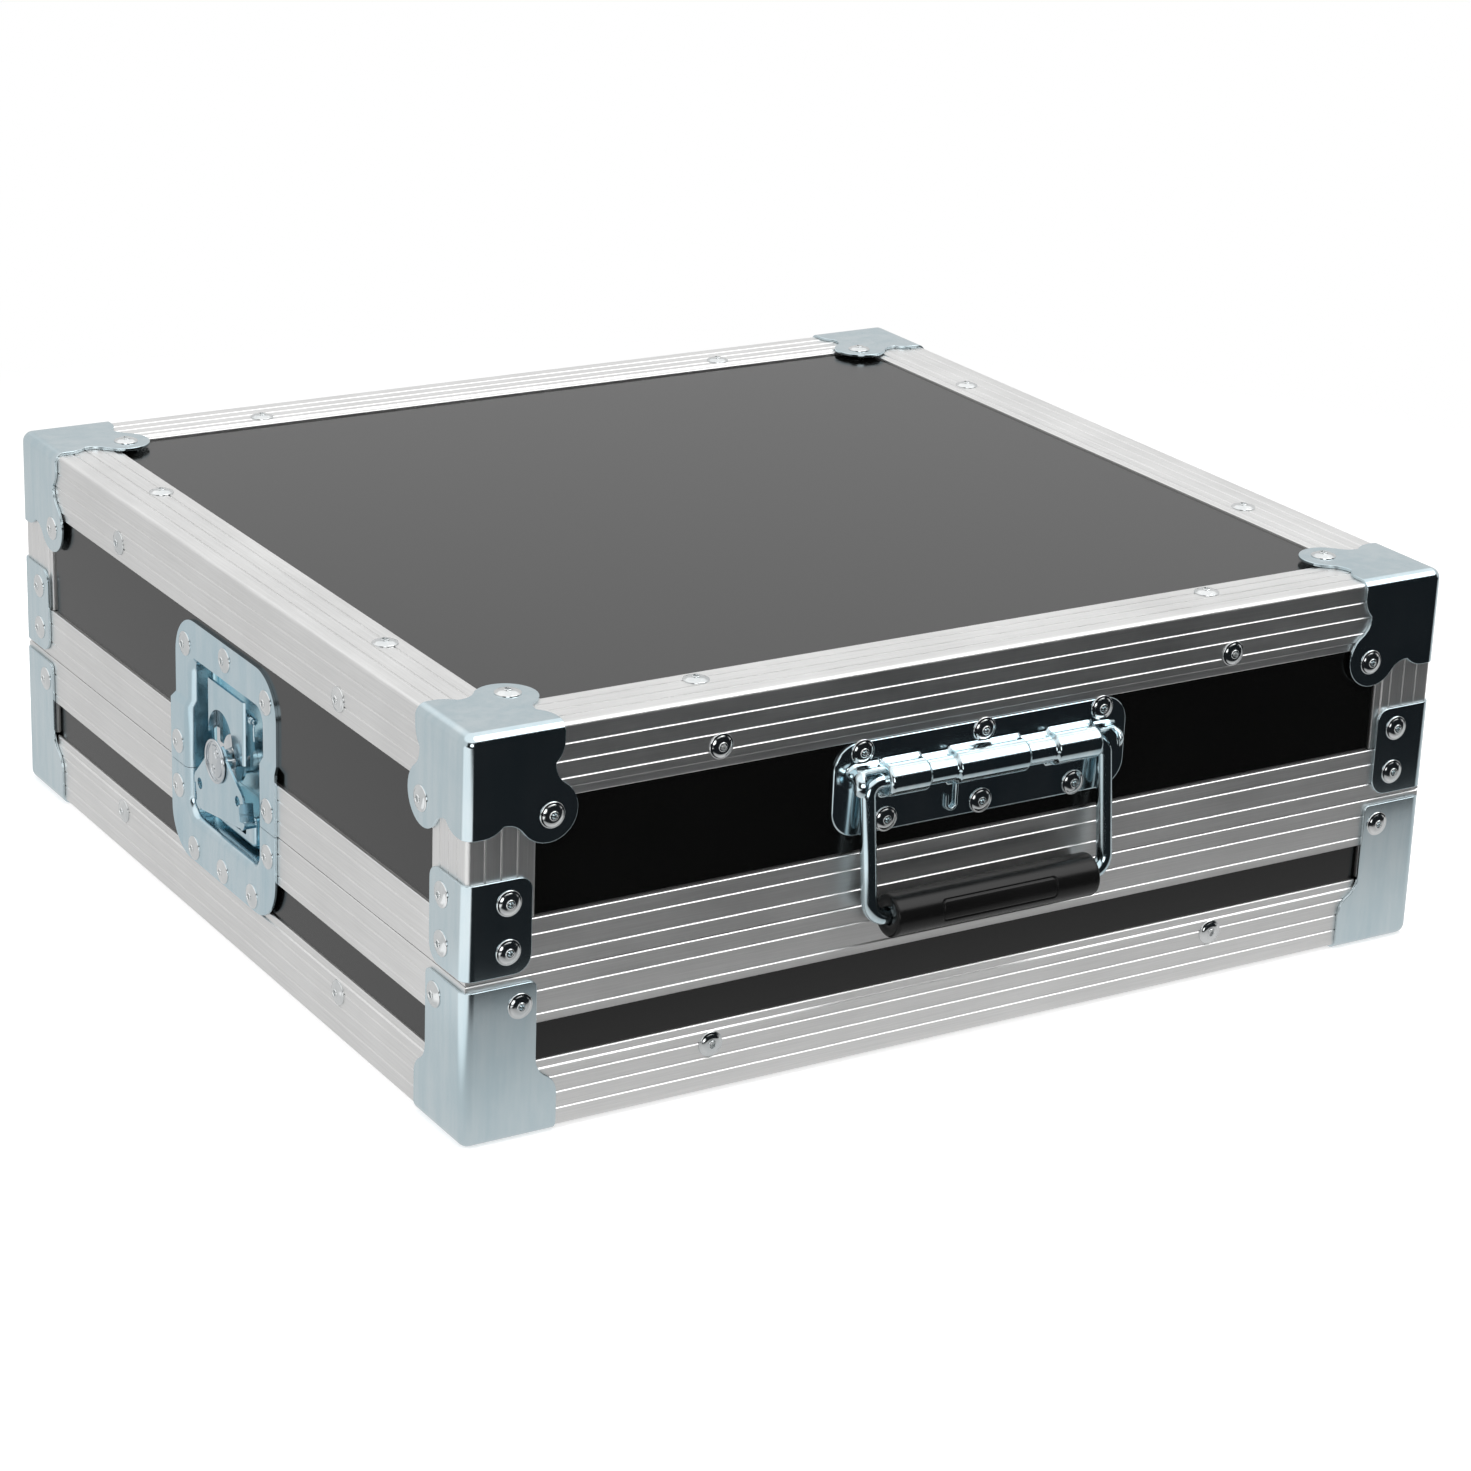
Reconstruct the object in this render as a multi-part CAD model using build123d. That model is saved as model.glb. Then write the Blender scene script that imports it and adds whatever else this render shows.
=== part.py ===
from build123d import *
import math
import os

# Size of the case over its aluminium profiles, without caps and handle
case_width = 490.0
case_depth = 460.0
case_height = 175.0
seam_height = 70.0
seam_gap = 0.3

# Panels and the grooved edge profile
panel_thick = 9.5
profile_leg = 31.0
profile_wall = 1.8
profile_radius = 2.0
rim_corner_bevel = 1.2
profile_end_gap = 1.0
lip_width = 4.0
lip_step = 0.7
groove_first = 8.3
groove_pitch = 7.3
groove_count = 3
groove_half_width = 0.8
groove_depth = 0.6
joint_gap = 0.3

# Closing profiles of the lid and the base
lid_rim_height = 24.0
base_rim_height = 22.0
rim_inner_wall = 1.5
rim_inner_height = 15.0
lid_web = 2.5
base_web = 7.0
tongue_thick = 3.0
tongue_height = 4.0
tongue_inset = 5.0
tongue_clearance = 0.35
lid_rim_grooves = (7.6, 17.3)
base_rim_grooves = (7.4, 17.7)

# Steel corner caps and rim brackets
cap_wall = 1.5
cap_edge_radius = 5.0
cap_edge_flats = 4
cap_inner_bevel = 1.0
cap_reach = 42.6
cap_straight = 7.0
cap_notch_reach = 38.6
cap_notch_place = 15.5
lobe_start_reach = 43.0
lobe_start_place = 24.5
lobe_corner = 44.9
cap_rivet_place = 37.0
base_cap_seam_gap = 2.5
base_cap_width = 31.8
base_cap_flare_top = 33.0
base_cap_flare_bottom = 16.0
base_cap_foot = 41.6
base_cap_foot_corner = 14.0
base_cap_top_radius = 3.0
base_cap_rivet_inset = 24.0
base_cap_rivet_drop = 9.5
bracket_width = 29.0
bracket_low = 2.2
bracket_high = 43.6
bracket_top_radius = 6.0
bracket_low_radius = 8.0
bracket_rivet_inset = 18.3
bracket_rivet_heights = (12.5, 33.6)

# Rivet heads
rivet_radius = 5.7
rivet_crown_radius = 3.4
rivet_height = 2.0
rivet_sides = 8
profile_rivet_end = 115.0
profile_rivet_inset = 21.4

# Foam lining
foam_thick = 10.0
foam_clearance = 0.3
foam_latch_relief = 46.0

# Turn latch, in its own frame: x to the right, y up from the spindle, z out of the end panel
latch_over_seam = 17.0
dish_sheet = 1.3
dish_half_width = 55.0
dish_upper_half_width = 53.0
dish_top = 54.0
dish_bottom = -59.5
dish_step_low = 12.0
dish_step_high = 15.0
dish_corner = 20.0
pocket_half_width = 36.5
pocket_top = 36.8
pocket_bottom = -38.0
pocket_depth = 12.7
pocket_corner = 8.0
pocket_sheet = 1.2
shoulder = 4.0
latch_cut_clearance = 0.3
round_sides = 16
dish_rivets_upper = ((-42.5, 40.8), (0.0, 46.3), (42.5, 40.8), (-47.3, -7.0), (47.3, -7.0))
dish_rivets_lower = ((-47.3, -28.4), (47.3, -28.4), (-31.0, -53.2), (0.0, -53.2), (31.0, -53.2))

# Keeper, a bridge pressed up in the lower dish
keeper_half_width = 20.5
keeper_top = -21.8
keeper_bottom = -36.0
keeper_face = -4.8
keeper_sheet = 1.2
keeper_slot_half = 12.0
keeper_slot_low = -32.2
keeper_slot_high = -29.2

# Spindle with its head, hub and carrier arms
head_radius = 10.2
head_low = 3.9
head_high = 5.0
head_edge = 0.5
dimple_radius = 2.2
dimple_sides = 8
dimple_place = (1.8, 4.2)
dimple_depth = 0.5
neck_radius = 4.6
ring_radius = 11.0
ring_high = -4.4
ring_low = -6.0
hub_radius = 8.0
floor_gap = 0.1
tail_radius = 4.0
bearing_clearance = 0.05
tail_head_radius = 6.0
tail_head_high = 1.5
arm_half_width = 17.6
arm_width = 3.2
arm_sheet = 1.4

# Wing, its pin and its spring
wing_half_width = 19.2
wing_top = 31.3
wing_bottom = 3.2
wing_face = -0.6
wing_sheet = 1.2
wing_flange_depth = 5.4
wing_flange_end = 6.0
wing_corner = 2.0
wing_notch_radius = 11.2
finger_hole_radius = 8.5
finger_hole_place = (-8.5, 10.5)
pin_height = 25.0
pin_depth = -4.0
pin_radius = 1.1
lug_radius = 2.0
lug_sides = 10
pin_left = -21.0
pin_right = 24.2
spring_wire = 0.8
spring_radius = 1.55
spring_pitch = 1.3
spring_turns = 2.5
spring_side_gap = 0.4
spring_steps = 10
spring_sides = 5
wing_pin_clearance = 0.05

# Hasp, whose lip hangs in front of the keeper
hasp_low = 2.3
hasp_sheet = 1.3
hasp_half_width = 26.0
hasp_bottom = -27.5
hasp_shoulder = -11.0
hasp_top = 1.5
hasp_top_half_width = 10.5
hasp_yoke_radius = 9.9
hasp_corner = 4.0
hasp_flange = 6.4
hasp_lean = 8.0
hasp_hole_radius = 2.6
hasp_hole_place = (20.3, -14.8)
hasp_slot_clearance = 0.3
hasp_tab = 2.0
hasp_tab_length = 8.0

# Handle on the lid's front, in its own frame: x to the right, y up, z out of the front panel
plate_half_width = 74.6
plate_tall = 41.7
plate_profile_gap = 0.3
plate_sheet = 1.3
plate_corner = 12.0
barrel_over_plate_low = 24.5
barrel_axis_out = 3.3
hump_radius = 7.2
neck_hump_radius = 5.6
hump_spans = ((-54.0, -32.0), (-19.5, 19.5), (32.0, 54.0))
neck_spans = ((-32.0, -19.5), (19.5, 32.0))
stop_tab_span = (64.8, 72.0)
stop_tab_radius = 6.4
stop_tab_angles = (150.0, -35.0)
plate_rivets_high = (-61.0, 0.0, 61.0)
plate_rivets_low = (-48.0, 0.0, 48.0)
plate_rivet_high_inset = 4.4
plate_rivet_low_inset = 5.3
bail_wire = 3.5
bail_half_width = 60.5
bail_pivot_inner = 21.0
bail_pivot_clearance = 0.06
bail_top_radius = 6.0
bail_low_radius = 8.0
bail_bend_steps = 3
grip_radius = 9.6
grip_half_length = 52.0
bail_drop = 58.5
grip_gap = 0.5
grip_edge = 1.0
grip_sides = 24
grip_label_half = 30.0
grip_label_tall = 4.2
grip_label_deep = 0.4
coil_outer = 4.9
coil_half = 17.0
coil_clearance = 0.15
tail_wire = 0.8
tail_near = -13.2
tail_far = -17.9
tail_drop = 20.1
tail_end_drop = 13.5

# Places worked out from the sizes above
base_cap_height = seam_height - base_cap_seam_gap
latch_height = seam_height + latch_over_seam
plate_high = case_height - profile_leg - plate_profile_gap
plate_low = plate_high - plate_tall
barrel_height = plate_low + barrel_over_plate_low
grip_height = barrel_height - bail_drop
tail_low = barrel_height - tail_drop
tail_end = barrel_height - tail_end_drop
left = -case_width / 2
right = case_width / 2
bottom = cap_wall
top = bottom + case_height
seam = bottom + seam_height
lid_low = seam + seam_gap
front_reach = grip_gap + 2 * grip_radius
back_reach = cap_wall + rivet_height
front = (front_reach - back_reach - case_depth) / 2
back = front + case_depth
middle = (front + back) / 2
shell_depth = profile_wall + panel_thick
rim_depth = shell_depth + rim_inner_wall
profile_start = profile_leg + profile_end_gap
lid_rim_top = seam + lid_rim_height
base_rim_low = seam - base_rim_height
pocket_centre = (pocket_top + pocket_bottom) / 2

SIDES = ("front", "back", "left", "right")
CORNERS = (("front", "left"), ("front", "right"), ("back", "left"), ("back", "right"))

parts = {}


def block(x_low, x_high, y_low, y_high, z_low, z_high):
    centre = ((x_low + x_high) / 2, (y_low + y_high) / 2, (z_low + z_high) / 2)
    return Pos(*centre) * Box(x_high - x_low, y_high - y_low, z_high - z_low)


def arc_points(curve, steps):
    # an arc as a few chords, both ends included
    return [(point.X, point.Y) for point in (curve @ (step / steps) for step in range(steps + 1))]


def soft_outline(corners, steps=3):
    # closed outline from x, y and corner radius, its roundings as a few chords
    points = []
    for index, (x, y, radius) in enumerate(corners):
        if radius == 0:
            points.append((x, y))
            continue
        here = Vector(x, y)
        before = (Vector(*corners[index - 1][:2]) - here).normalized()
        after = (Vector(*corners[(index + 1) % len(corners)][:2]) - here).normalized()
        half = math.acos(before.dot(after)) / 2
        centre = here + (before + after).normalized() * (radius / math.sin(half))
        start = here + before * (radius / math.tan(half)) - centre
        end = here + after * (radius / math.tan(half)) - centre
        swing = math.pi - 2 * half
        for step in range(steps + 1):
            share = step / steps
            spoke = start * math.sin((1 - share) * swing) + end * math.sin(share * swing)
            point = centre + spoke * (1 / math.sin(swing))
            points.append((point.X, point.Y))
    return make_face(Polyline(*points, close=True))


def prism(radius, height, sides, z_low=0.0, inside=False):
    # many-sided stand-in for a plain disc, measured over its corners or inside its flats
    return extrude(Pos(0, 0, z_low) * RegularPolygon(radius, sides, major_radius=not inside), amount=height)


def side_frame(side):
    # origin in the middle of the side at floor level, x to the right seen from outside, z outwards
    places = {
        "front": ((0, front, bottom), (1, 0, 0), (0, -1, 0)),
        "back": ((0, back, bottom), (-1, 0, 0), (0, 1, 0)),
        "left": ((left, middle, bottom), (0, -1, 0), (-1, 0, 0)),
        "right": ((right, middle, bottom), (0, 1, 0), (1, 0, 0)),
    }
    origin, x_dir, z_dir = places[side]
    return Plane(origin=origin, x_dir=x_dir, z_dir=z_dir)


def side_length(side):
    return case_width if side in ("front", "back") else case_depth


def corner_signs(corner):
    return (1 if corner[1] == "right" else -1, 1 if corner[0] == "back" else -1)


def corner_point(corner, z):
    sign_x, sign_y = corner_signs(corner)
    return Vector(right * sign_x, middle + case_depth / 2 * sign_y, z)


# Grooved profiles

def leg_points():
    # outer face of one leg from the rounded corner to its end, as distance and depth
    points = [(profile_radius, 0.0)]
    for count in range(groove_count):
        place = groove_first + groove_pitch * count
        points += [(place - groove_half_width, 0.0), (place, groove_depth), (place + groove_half_width, 0.0)]
    lip_start = profile_leg - lip_width
    points += [(lip_start, 0.0), (lip_start, lip_step), (profile_leg, lip_step), (profile_leg, profile_wall)]
    return points


def edge_section():
    leg = leg_points()
    other = [(depth, place) for place, depth in leg]
    outline = Polyline(*leg, (profile_wall, profile_wall), *reversed(other))
    bend = profile_radius * (1 - math.sqrt(0.5))
    outline += ThreePointArc(other[0], (bend, bend), leg[0])
    return make_face(outline)


def edge_profile(start, end, inward_a, inward_b):
    run = end - start
    if inward_a.cross(inward_b).dot(run) < 0:
        start, end = end, start
    frame = Plane(origin=start, x_dir=inward_a, z_dir=end - start)
    return extrude(frame * edge_section(), amount=run.length)


def long_edge(side, z, inward_z):
    frame = side_frame(side)
    half = side_length(side) / 2 - profile_start
    start = frame.from_local_coords((-half, z - bottom, 0))
    end = frame.from_local_coords((half, z - bottom, 0))
    return edge_profile(start, end, -frame.z_dir, Vector(0, 0, inward_z))


def corner_post(corner, z_low, z_high):
    sign_x, sign_y = corner_signs(corner)
    start = corner_point(corner, z_low)
    end = corner_point(corner, z_high)
    return edge_profile(start, end, Vector(-sign_x, 0, 0), Vector(0, -sign_y, 0))


def rim_outline(height, web, grooves, tongue):
    # depth into the wall and height away from the seam
    points = [(0.0, 0.0)]
    for place in grooves:
        points += [(0.0, place - groove_half_width), (groove_depth, place), (0.0, place + groove_half_width)]
    points += [(0.0, height), (profile_wall, height), (profile_wall, web)]
    points += [(shell_depth, web), (shell_depth, rim_inner_height), (rim_depth, rim_inner_height)]
    points += [(rim_depth, 0.0)]
    if tongue:
        low, inner, outer = -tongue_height, tongue_inset, tongue_inset + tongue_thick
    else:
        low = tongue_height + tongue_clearance
        inner = tongue_inset - tongue_clearance
        outer = tongue_inset + tongue_thick + tongue_clearance
    points += [(outer, 0.0), (outer, low), (inner, low), (inner, 0.0)]
    return points


def rim_profile(side, points, seat, away):
    # one mitred length, seated at the seam and standing away from it
    frame = side_frame(side)
    half = side_length(side) / 2
    section = make_face(Polyline(*[(seat + away * high, -deep) for deep, high in points], close=True))
    run = Plane(
        origin=frame.from_local_coords((-half, -bottom, 0)), x_dir=(0, 0, 1), z_dir=frame.x_dir
    )
    if run.y_dir.dot(frame.z_dir) < 0:
        section = mirror(section, Plane.XZ)
    length = extrude(run * section, amount=2 * half)
    corners = ((-half, 0), (half, 0), (half - rim_depth, -rim_depth), (rim_depth - half, -rim_depth))
    mitre = Polyline(*[frame.from_local_coords((x, -bottom, z)) for x, z in corners], close=True)
    outer = Rectangle(case_width, case_depth)
    outer = Pos(0, middle) * chamfer(outer.vertices(), rim_corner_bevel)
    return length & extrude(make_face(mitre) & outer, amount=top, dir=(0, 0, 1))


def latch_cutout(side):
    frame = latch_frame(side)
    half = pocket_half_width + shoulder + pocket_sheet + latch_cut_clearance
    low = pocket_bottom - shoulder - pocket_sheet - latch_cut_clearance
    high = pocket_top + pocket_sheet + latch_cut_clearance
    return frame.location * block(-half, half, low, high, -2 * pocket_depth, pocket_depth)


def dish_relief(side):
    # room for the sunk upper flange of a latch dish, where it reaches a profile
    half = dish_upper_half_width + latch_cut_clearance
    relief = block(
        -half, half, dish_step_low, dish_top + latch_cut_clearance,
        -profile_wall - latch_cut_clearance, profile_wall
    )
    return latch_frame(side).location * relief


def plate_relief():
    # room for the handle's plate, where it reaches a profile
    half = plate_half_width + plate_profile_gap
    relief = block(
        -half, half, plate_low - plate_profile_gap, plate_high + plate_profile_gap / 2,
        -profile_wall - plate_profile_gap, profile_wall,
    )
    return handle_frame().location * relief


def build_profiles():
    for side in SIDES:
        parts[f"lid_{side}_edge_profile"] = long_edge(side, top, -1)
        parts[f"base_{side}_edge_profile"] = long_edge(side, bottom, 1)
        if side in ("left", "right"):
            parts[f"lid_{side}_edge_profile"] -= dish_relief(side)
            parts[f"base_{side}_edge_profile"] -= latch_cutout(side)
        lid_rim = rim_profile(side, rim_outline(lid_rim_height, lid_web, lid_rim_grooves, True), lid_low, 1)
        base_outline = rim_outline(base_rim_height, base_web, base_rim_grooves, False)
        base_rim = rim_profile(side, base_outline, seam, -1)
        if side in ("left", "right"):
            lid_rim -= latch_cutout(side)
            base_rim -= latch_cutout(side)
        if side == "front":
            lid_rim -= plate_relief()
        parts[f"lid_{side}_rim_profile"] = lid_rim
        parts[f"base_{side}_rim_profile"] = base_rim
    lid_posts = (lid_low + lid_rim_height + joint_gap, top - profile_start)
    base_posts = (bottom + profile_start, base_rim_low - joint_gap)
    parts["lid_corner_profiles"] = Compound([corner_post(corner, *lid_posts) for corner in CORNERS])
    parts["base_corner_profiles"] = Compound([corner_post(corner, *base_posts) for corner in CORNERS])


# Panels

def side_panel(side, z_low, z_high):
    inset = profile_wall if side in ("front", "back") else shell_depth
    half = side_length(side) / 2 - inset
    frame = side_frame(side)
    panel = frame.location * block(-half, half, z_low - bottom, z_high - bottom, -shell_depth, -profile_wall)
    return panel - latch_cutout(side) if side in ("left", "right") else panel


def flat_panel(z_low):
    return block(
        left + profile_wall, right - profile_wall, front + profile_wall, back - profile_wall,
        z_low, z_low + panel_thick,
    )


def build_panels():
    parts["lid_top_panel"] = flat_panel(top - shell_depth)
    parts["base_floor_panel"] = flat_panel(bottom + profile_wall)
    for side in SIDES:
        parts[f"lid_{side}_panel"] = side_panel(side, lid_low + lid_web, top - shell_depth)
        parts[f"base_{side}_panel"] = side_panel(side, bottom + shell_depth, seam - base_web)


# Corner caps and brackets, made in a frame with the corner at the origin and the case in the
# positive octant, then mirrored out to each corner

def corner_shell(reach, height):
    far = reach + cap_wall
    outer = block(-cap_wall, far, -cap_wall, far, -cap_wall, height)
    inner = block(0, 2 * far, 0, 2 * far, 0, 2 * height)
    outer = eased_edges(outer, 2 * (far + height))
    near = [edge for edge in inner.edges() if touches_origin_sides(edge, 0)]
    inner = chamfer(near, cap_inner_bevel)
    return outer - inner


def eased_edges(shape, size, upright_only=False):
    # the round of the outer edges, as flats that touch it
    directions = []
    for angle in (math.radians(90 * step / cap_edge_flats) for step in range(1, cap_edge_flats)):
        along, across = math.cos(angle), math.sin(angle)
        directions.append((along, across, 0))
        if not upright_only:
            directions += [(0, along, across), (across, 0, along)]
    if not upright_only:
        directions += [(1, 1, 1), (2, 1, 1), (1, 2, 1), (1, 1, 2)]
    for direction in directions:
        inwards = Vector(*direction).normalized()
        origin = Vector(1, 1, 1) * (cap_edge_radius - cap_wall) - inwards * cap_edge_radius
        shape -= extrude(Plane(origin=origin, z_dir=-inwards) * Rectangle(size, size), amount=size)
    return shape


def touches_origin_sides(edge, level):
    centre = edge.center()
    return sum(abs(value - level) < 1e-6 for value in (centre.X, centre.Y, centre.Z)) == 2


def lobed_outline():
    # leg of a lid cap: straight by the edge, a notch, then the lobe round the rivet
    bend = ((cap_reach + cap_notch_reach) / 2 + 0.9, (cap_straight + cap_notch_place) / 2 + 0.2)
    waist = (cap_notch_reach + 0.8, (cap_notch_place + lobe_start_place) / 2 + 0.2)
    notch = (cap_notch_reach, cap_notch_place)
    start = (lobe_start_reach, lobe_start_place)
    half = arc_points(ThreePointArc((cap_reach, cap_straight), bend, notch), 2)
    half += arc_points(ThreePointArc(notch, waist, start), 2)[1:]
    lobe = arc_points(ThreePointArc(start, (lobe_corner, lobe_corner), start[::-1]), 7)[1:-1]
    other = [(y, x) for x, y in reversed(half)]
    closing = [(-cap_reach, cap_reach), (-cap_reach, -cap_reach), (cap_reach, -cap_reach)]
    return make_face(Polyline(*half, *lobe, *other, *closing, close=True))


def flared_outline():
    # front of a base cap: a narrow upright that flares to the foot
    middle_point = ((base_cap_width + base_cap_foot) / 2, (base_cap_flare_top + base_cap_flare_bottom) / 2)
    upper = arc_points(TangentArc((base_cap_width, base_cap_flare_top), middle_point, tangent=(0, -1)), 3)
    lower = arc_points(TangentArc((base_cap_foot, base_cap_flare_bottom), middle_point, tangent=(0, 1)), 3)
    shoulder_low = base_cap_height - base_cap_top_radius
    points = [(-base_cap_foot, base_cap_height), (base_cap_width - base_cap_top_radius, base_cap_height)]
    points += [(base_cap_width, shoulder_low)] + upper + lower[-2::-1]
    points += [(base_cap_foot, -base_cap_foot), (-base_cap_foot, -base_cap_foot)]
    return make_face(Polyline(*points, close=True))


def leg_cutter(face_frame, outline, size):
    # what lies outside an outline on one leg, as deep as that leg's wall
    sheet = Rectangle(4 * size, 4 * size) - outline
    return extrude(face_frame * sheet, amount=2 * cap_wall)


def face_frames():
    # the three faces that meet at the origin, each with its own flat axes
    inside = cap_inner_bevel + 0.01
    return (
        Plane(origin=(0, inside, 0), x_dir=(1, 0, 0), z_dir=(0, -1, 0)),
        Plane(origin=(inside, 0, 0), x_dir=(0, 1, 0), z_dir=(1, 0, 0)).offset(-2 * cap_wall),
        Plane(origin=(0, 0, inside), x_dir=(1, 0, 0), z_dir=(0, 0, 1)).offset(-2 * cap_wall),
    )


def lid_cap():
    size = lobe_corner + 6
    shell = corner_shell(size, size)
    for frame in face_frames():
        shell -= leg_cutter(frame, lobed_outline(), size)
    return shell


def base_cap():
    size = base_cap_foot + 2
    shell = corner_shell(size, base_cap_height + 2)
    frames = face_frames()
    for frame in frames[:2]:
        shell -= leg_cutter(frame, flared_outline(), base_cap_height)
    foot = soft_outline([
        (-size, -size, 0), (base_cap_foot, -size, 0), (base_cap_foot, base_cap_foot, base_cap_foot_corner),
        (-size, base_cap_foot, 0),
    ])
    return shell - leg_cutter(frames[2], foot, size)


def rim_bracket():
    outer = block(-cap_wall, bracket_width, -cap_wall, bracket_width, bracket_low, bracket_high)
    inner = block(0, 2 * bracket_width, 0, 2 * bracket_width, 0, 2 * bracket_high)
    inner_edge = inner.edges().filter_by(Axis.Z).sort_by(Axis((0, 0, 0), (1, 1, 0)))[0]
    shell = eased_edges(outer, 4 * bracket_high, upright_only=True) - chamfer(inner_edge, cap_inner_bevel)
    leg = soft_outline([
        (-bracket_width, bracket_low, 0), (bracket_width, bracket_low, bracket_low_radius),
        (bracket_width, bracket_high, bracket_top_radius), (-bracket_width, bracket_high, 0),
    ])
    for frame in face_frames()[:2]:
        shell -= leg_cutter(frame, leg, bracket_high)
    return shell


def to_corner(shape, corner, z, flip=False):
    # turn a piece made at the origin out to one corner of the case
    sign_x, sign_y = corner_signs(corner)
    if sign_x > 0:
        shape = mirror(shape, Plane.YZ)
    if sign_y > 0:
        shape = mirror(shape, Plane.XZ)
    if flip:
        shape = mirror(shape, Plane.XY)
    return Pos(*tuple(corner_point(corner, z))) * shape


def build_caps():
    upper = lid_cap()
    lower = base_cap()
    bracket = rim_bracket()
    for corner in CORNERS:
        name = "_".join(corner)
        parts[f"lid_{name}_cap"] = to_corner(upper, corner, top, flip=True)
        parts[f"base_{name}_cap"] = to_corner(lower, corner, bottom)
    parts["lid_rim_brackets"] = Compound([to_corner(bracket, corner, seam) for corner in CORNERS])


# Rivet heads

def rivet_head(frame, x, y, z):
    foot = Plane(frame.from_local_coords((x, y, z)), x_dir=frame.x_dir, z_dir=frame.z_dir)
    slope = math.degrees(math.atan((rivet_radius - rivet_crown_radius) / rivet_height))
    return extrude(foot * RegularPolygon(rivet_radius, rivet_sides), amount=rivet_height, taper=slope)


def top_frame():
    return Plane(origin=(0, middle, top), x_dir=(1, 0, 0), z_dir=(0, 0, 1))


def side_rivets(side, end, height, z):
    frame = side_frame(side)
    place = side_length(side) / 2 - end
    return [rivet_head(frame, sign * place, height, z) for sign in (-1, 1)]


def build_rivets():
    lid = []
    base = []
    flat = top_frame()
    for side in SIDES:
        lid += side_rivets(side, profile_rivet_end, case_height - profile_rivet_inset, 0)
        base += side_rivets(side, profile_rivet_end, profile_rivet_inset, 0)
        lid += side_rivets(side, cap_rivet_place, case_height - cap_rivet_place, cap_wall)
        base += side_rivets(side, base_cap_rivet_inset, base_cap_height - base_cap_rivet_drop, cap_wall)
        for height in bracket_rivet_heights:
            lid += side_rivets(side, bracket_rivet_inset, seam_height + height, cap_wall)
    for sign_x in (-1, 1):
        for sign_y in (-1, 1):
            x = sign_x * (case_width / 2 - profile_rivet_end)
            y = sign_y * (case_depth / 2 - profile_rivet_inset)
            lid.append(rivet_head(flat, x, y, 0))
            x = sign_x * (case_width / 2 - profile_rivet_inset)
            y = sign_y * (case_depth / 2 - profile_rivet_end)
            lid.append(rivet_head(flat, x, y, 0))
            x = sign_x * (case_width / 2 - cap_rivet_place)
            y = sign_y * (case_depth / 2 - cap_rivet_place)
            lid.append(rivet_head(flat, x, y, cap_wall))
    for side in ("left", "right"):
        frame = latch_frame(side)
        for x, y in dish_rivets_upper:
            level = dish_sheet if y < dish_step_low else dish_sheet - profile_wall
            lid.append(rivet_head(frame, x, y, level))
        base += [rivet_head(frame, x, y, dish_sheet) for x, y in dish_rivets_lower]
    frame = handle_frame()
    level = plate_sheet - profile_wall
    lid += [rivet_head(frame, x, plate_high - plate_rivet_high_inset, level) for x in plate_rivets_high]
    lid += [rivet_head(frame, x, plate_low + plate_rivet_low_inset, level) for x in plate_rivets_low]
    parts["lid_rivets"] = Compound(lid)
    parts["base_rivets"] = Compound(base)


# Foam

def build_foam():
    inset = shell_depth + rim_inner_wall + foam_clearance
    pad_x = right - inset
    pad_y = case_depth / 2 - inset
    relief = latch_height + pocket_top + 2 * pocket_sheet
    low = bottom + shell_depth + foam_clearance
    base = block(-pad_x, pad_x, middle - pad_y, middle + pad_y, low, seam - foam_clearance)
    base -= block(
        foam_thick - pad_x, pad_x - foam_thick, middle - pad_y + foam_thick, middle + pad_y - foam_thick,
        low + foam_thick, top,
    )
    high = top - shell_depth - foam_clearance
    lid = block(-pad_x, pad_x, middle - pad_y, middle + pad_y, lid_low + foam_clearance, high)
    lid -= block(
        foam_thick - pad_x, pad_x - foam_thick, middle - pad_y + foam_thick, middle + pad_y - foam_thick,
        0, high - foam_thick,
    )
    half = foam_latch_relief
    gap_low = bottom + latch_height + pocket_bottom - shoulder
    for sign in (-1, 1):
        x_low, x_high = sorted((sign * pad_x, sign * (pad_x - foam_thick)))
        gap = block(x_low, x_high, middle - half, middle + half, gap_low, bottom + relief)
        base -= gap
        lid -= gap
    parts["base_foam"] = base
    parts["lid_foam"] = lid


# Turn latch

def latch_frame(side):
    frame = side_frame(side)
    origin = frame.from_local_coords((0, latch_height, 0))
    return Plane(origin=origin, x_dir=frame.x_dir, z_dir=frame.z_dir)


def dish_flange():
    step = [
        (dish_bottom, 0), (dish_step_low, 0), (dish_step_high, -profile_wall), (dish_top, -profile_wall),
        (dish_top, dish_sheet - profile_wall), (dish_step_high, dish_sheet - profile_wall),
        (dish_step_low, dish_sheet), (dish_bottom, dish_sheet),
    ]
    section = Plane.YZ * make_face(Polyline(*step, close=True))
    sheet = extrude(section, amount=dish_half_width, both=True)
    outline = soft_outline([
        (-dish_half_width, dish_bottom, dish_corner), (dish_half_width, dish_bottom, dish_corner),
        (dish_half_width, dish_step_low, 0), (dish_upper_half_width, dish_step_high, 0),
        (dish_upper_half_width, dish_top, dish_corner), (-dish_upper_half_width, dish_top, dish_corner),
        (-dish_upper_half_width, dish_step_high, 0), (-dish_half_width, dish_step_low, 0),
    ], steps=4)
    return sheet & extrude(outline, amount=2 * dish_sheet + profile_wall, both=True)


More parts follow.
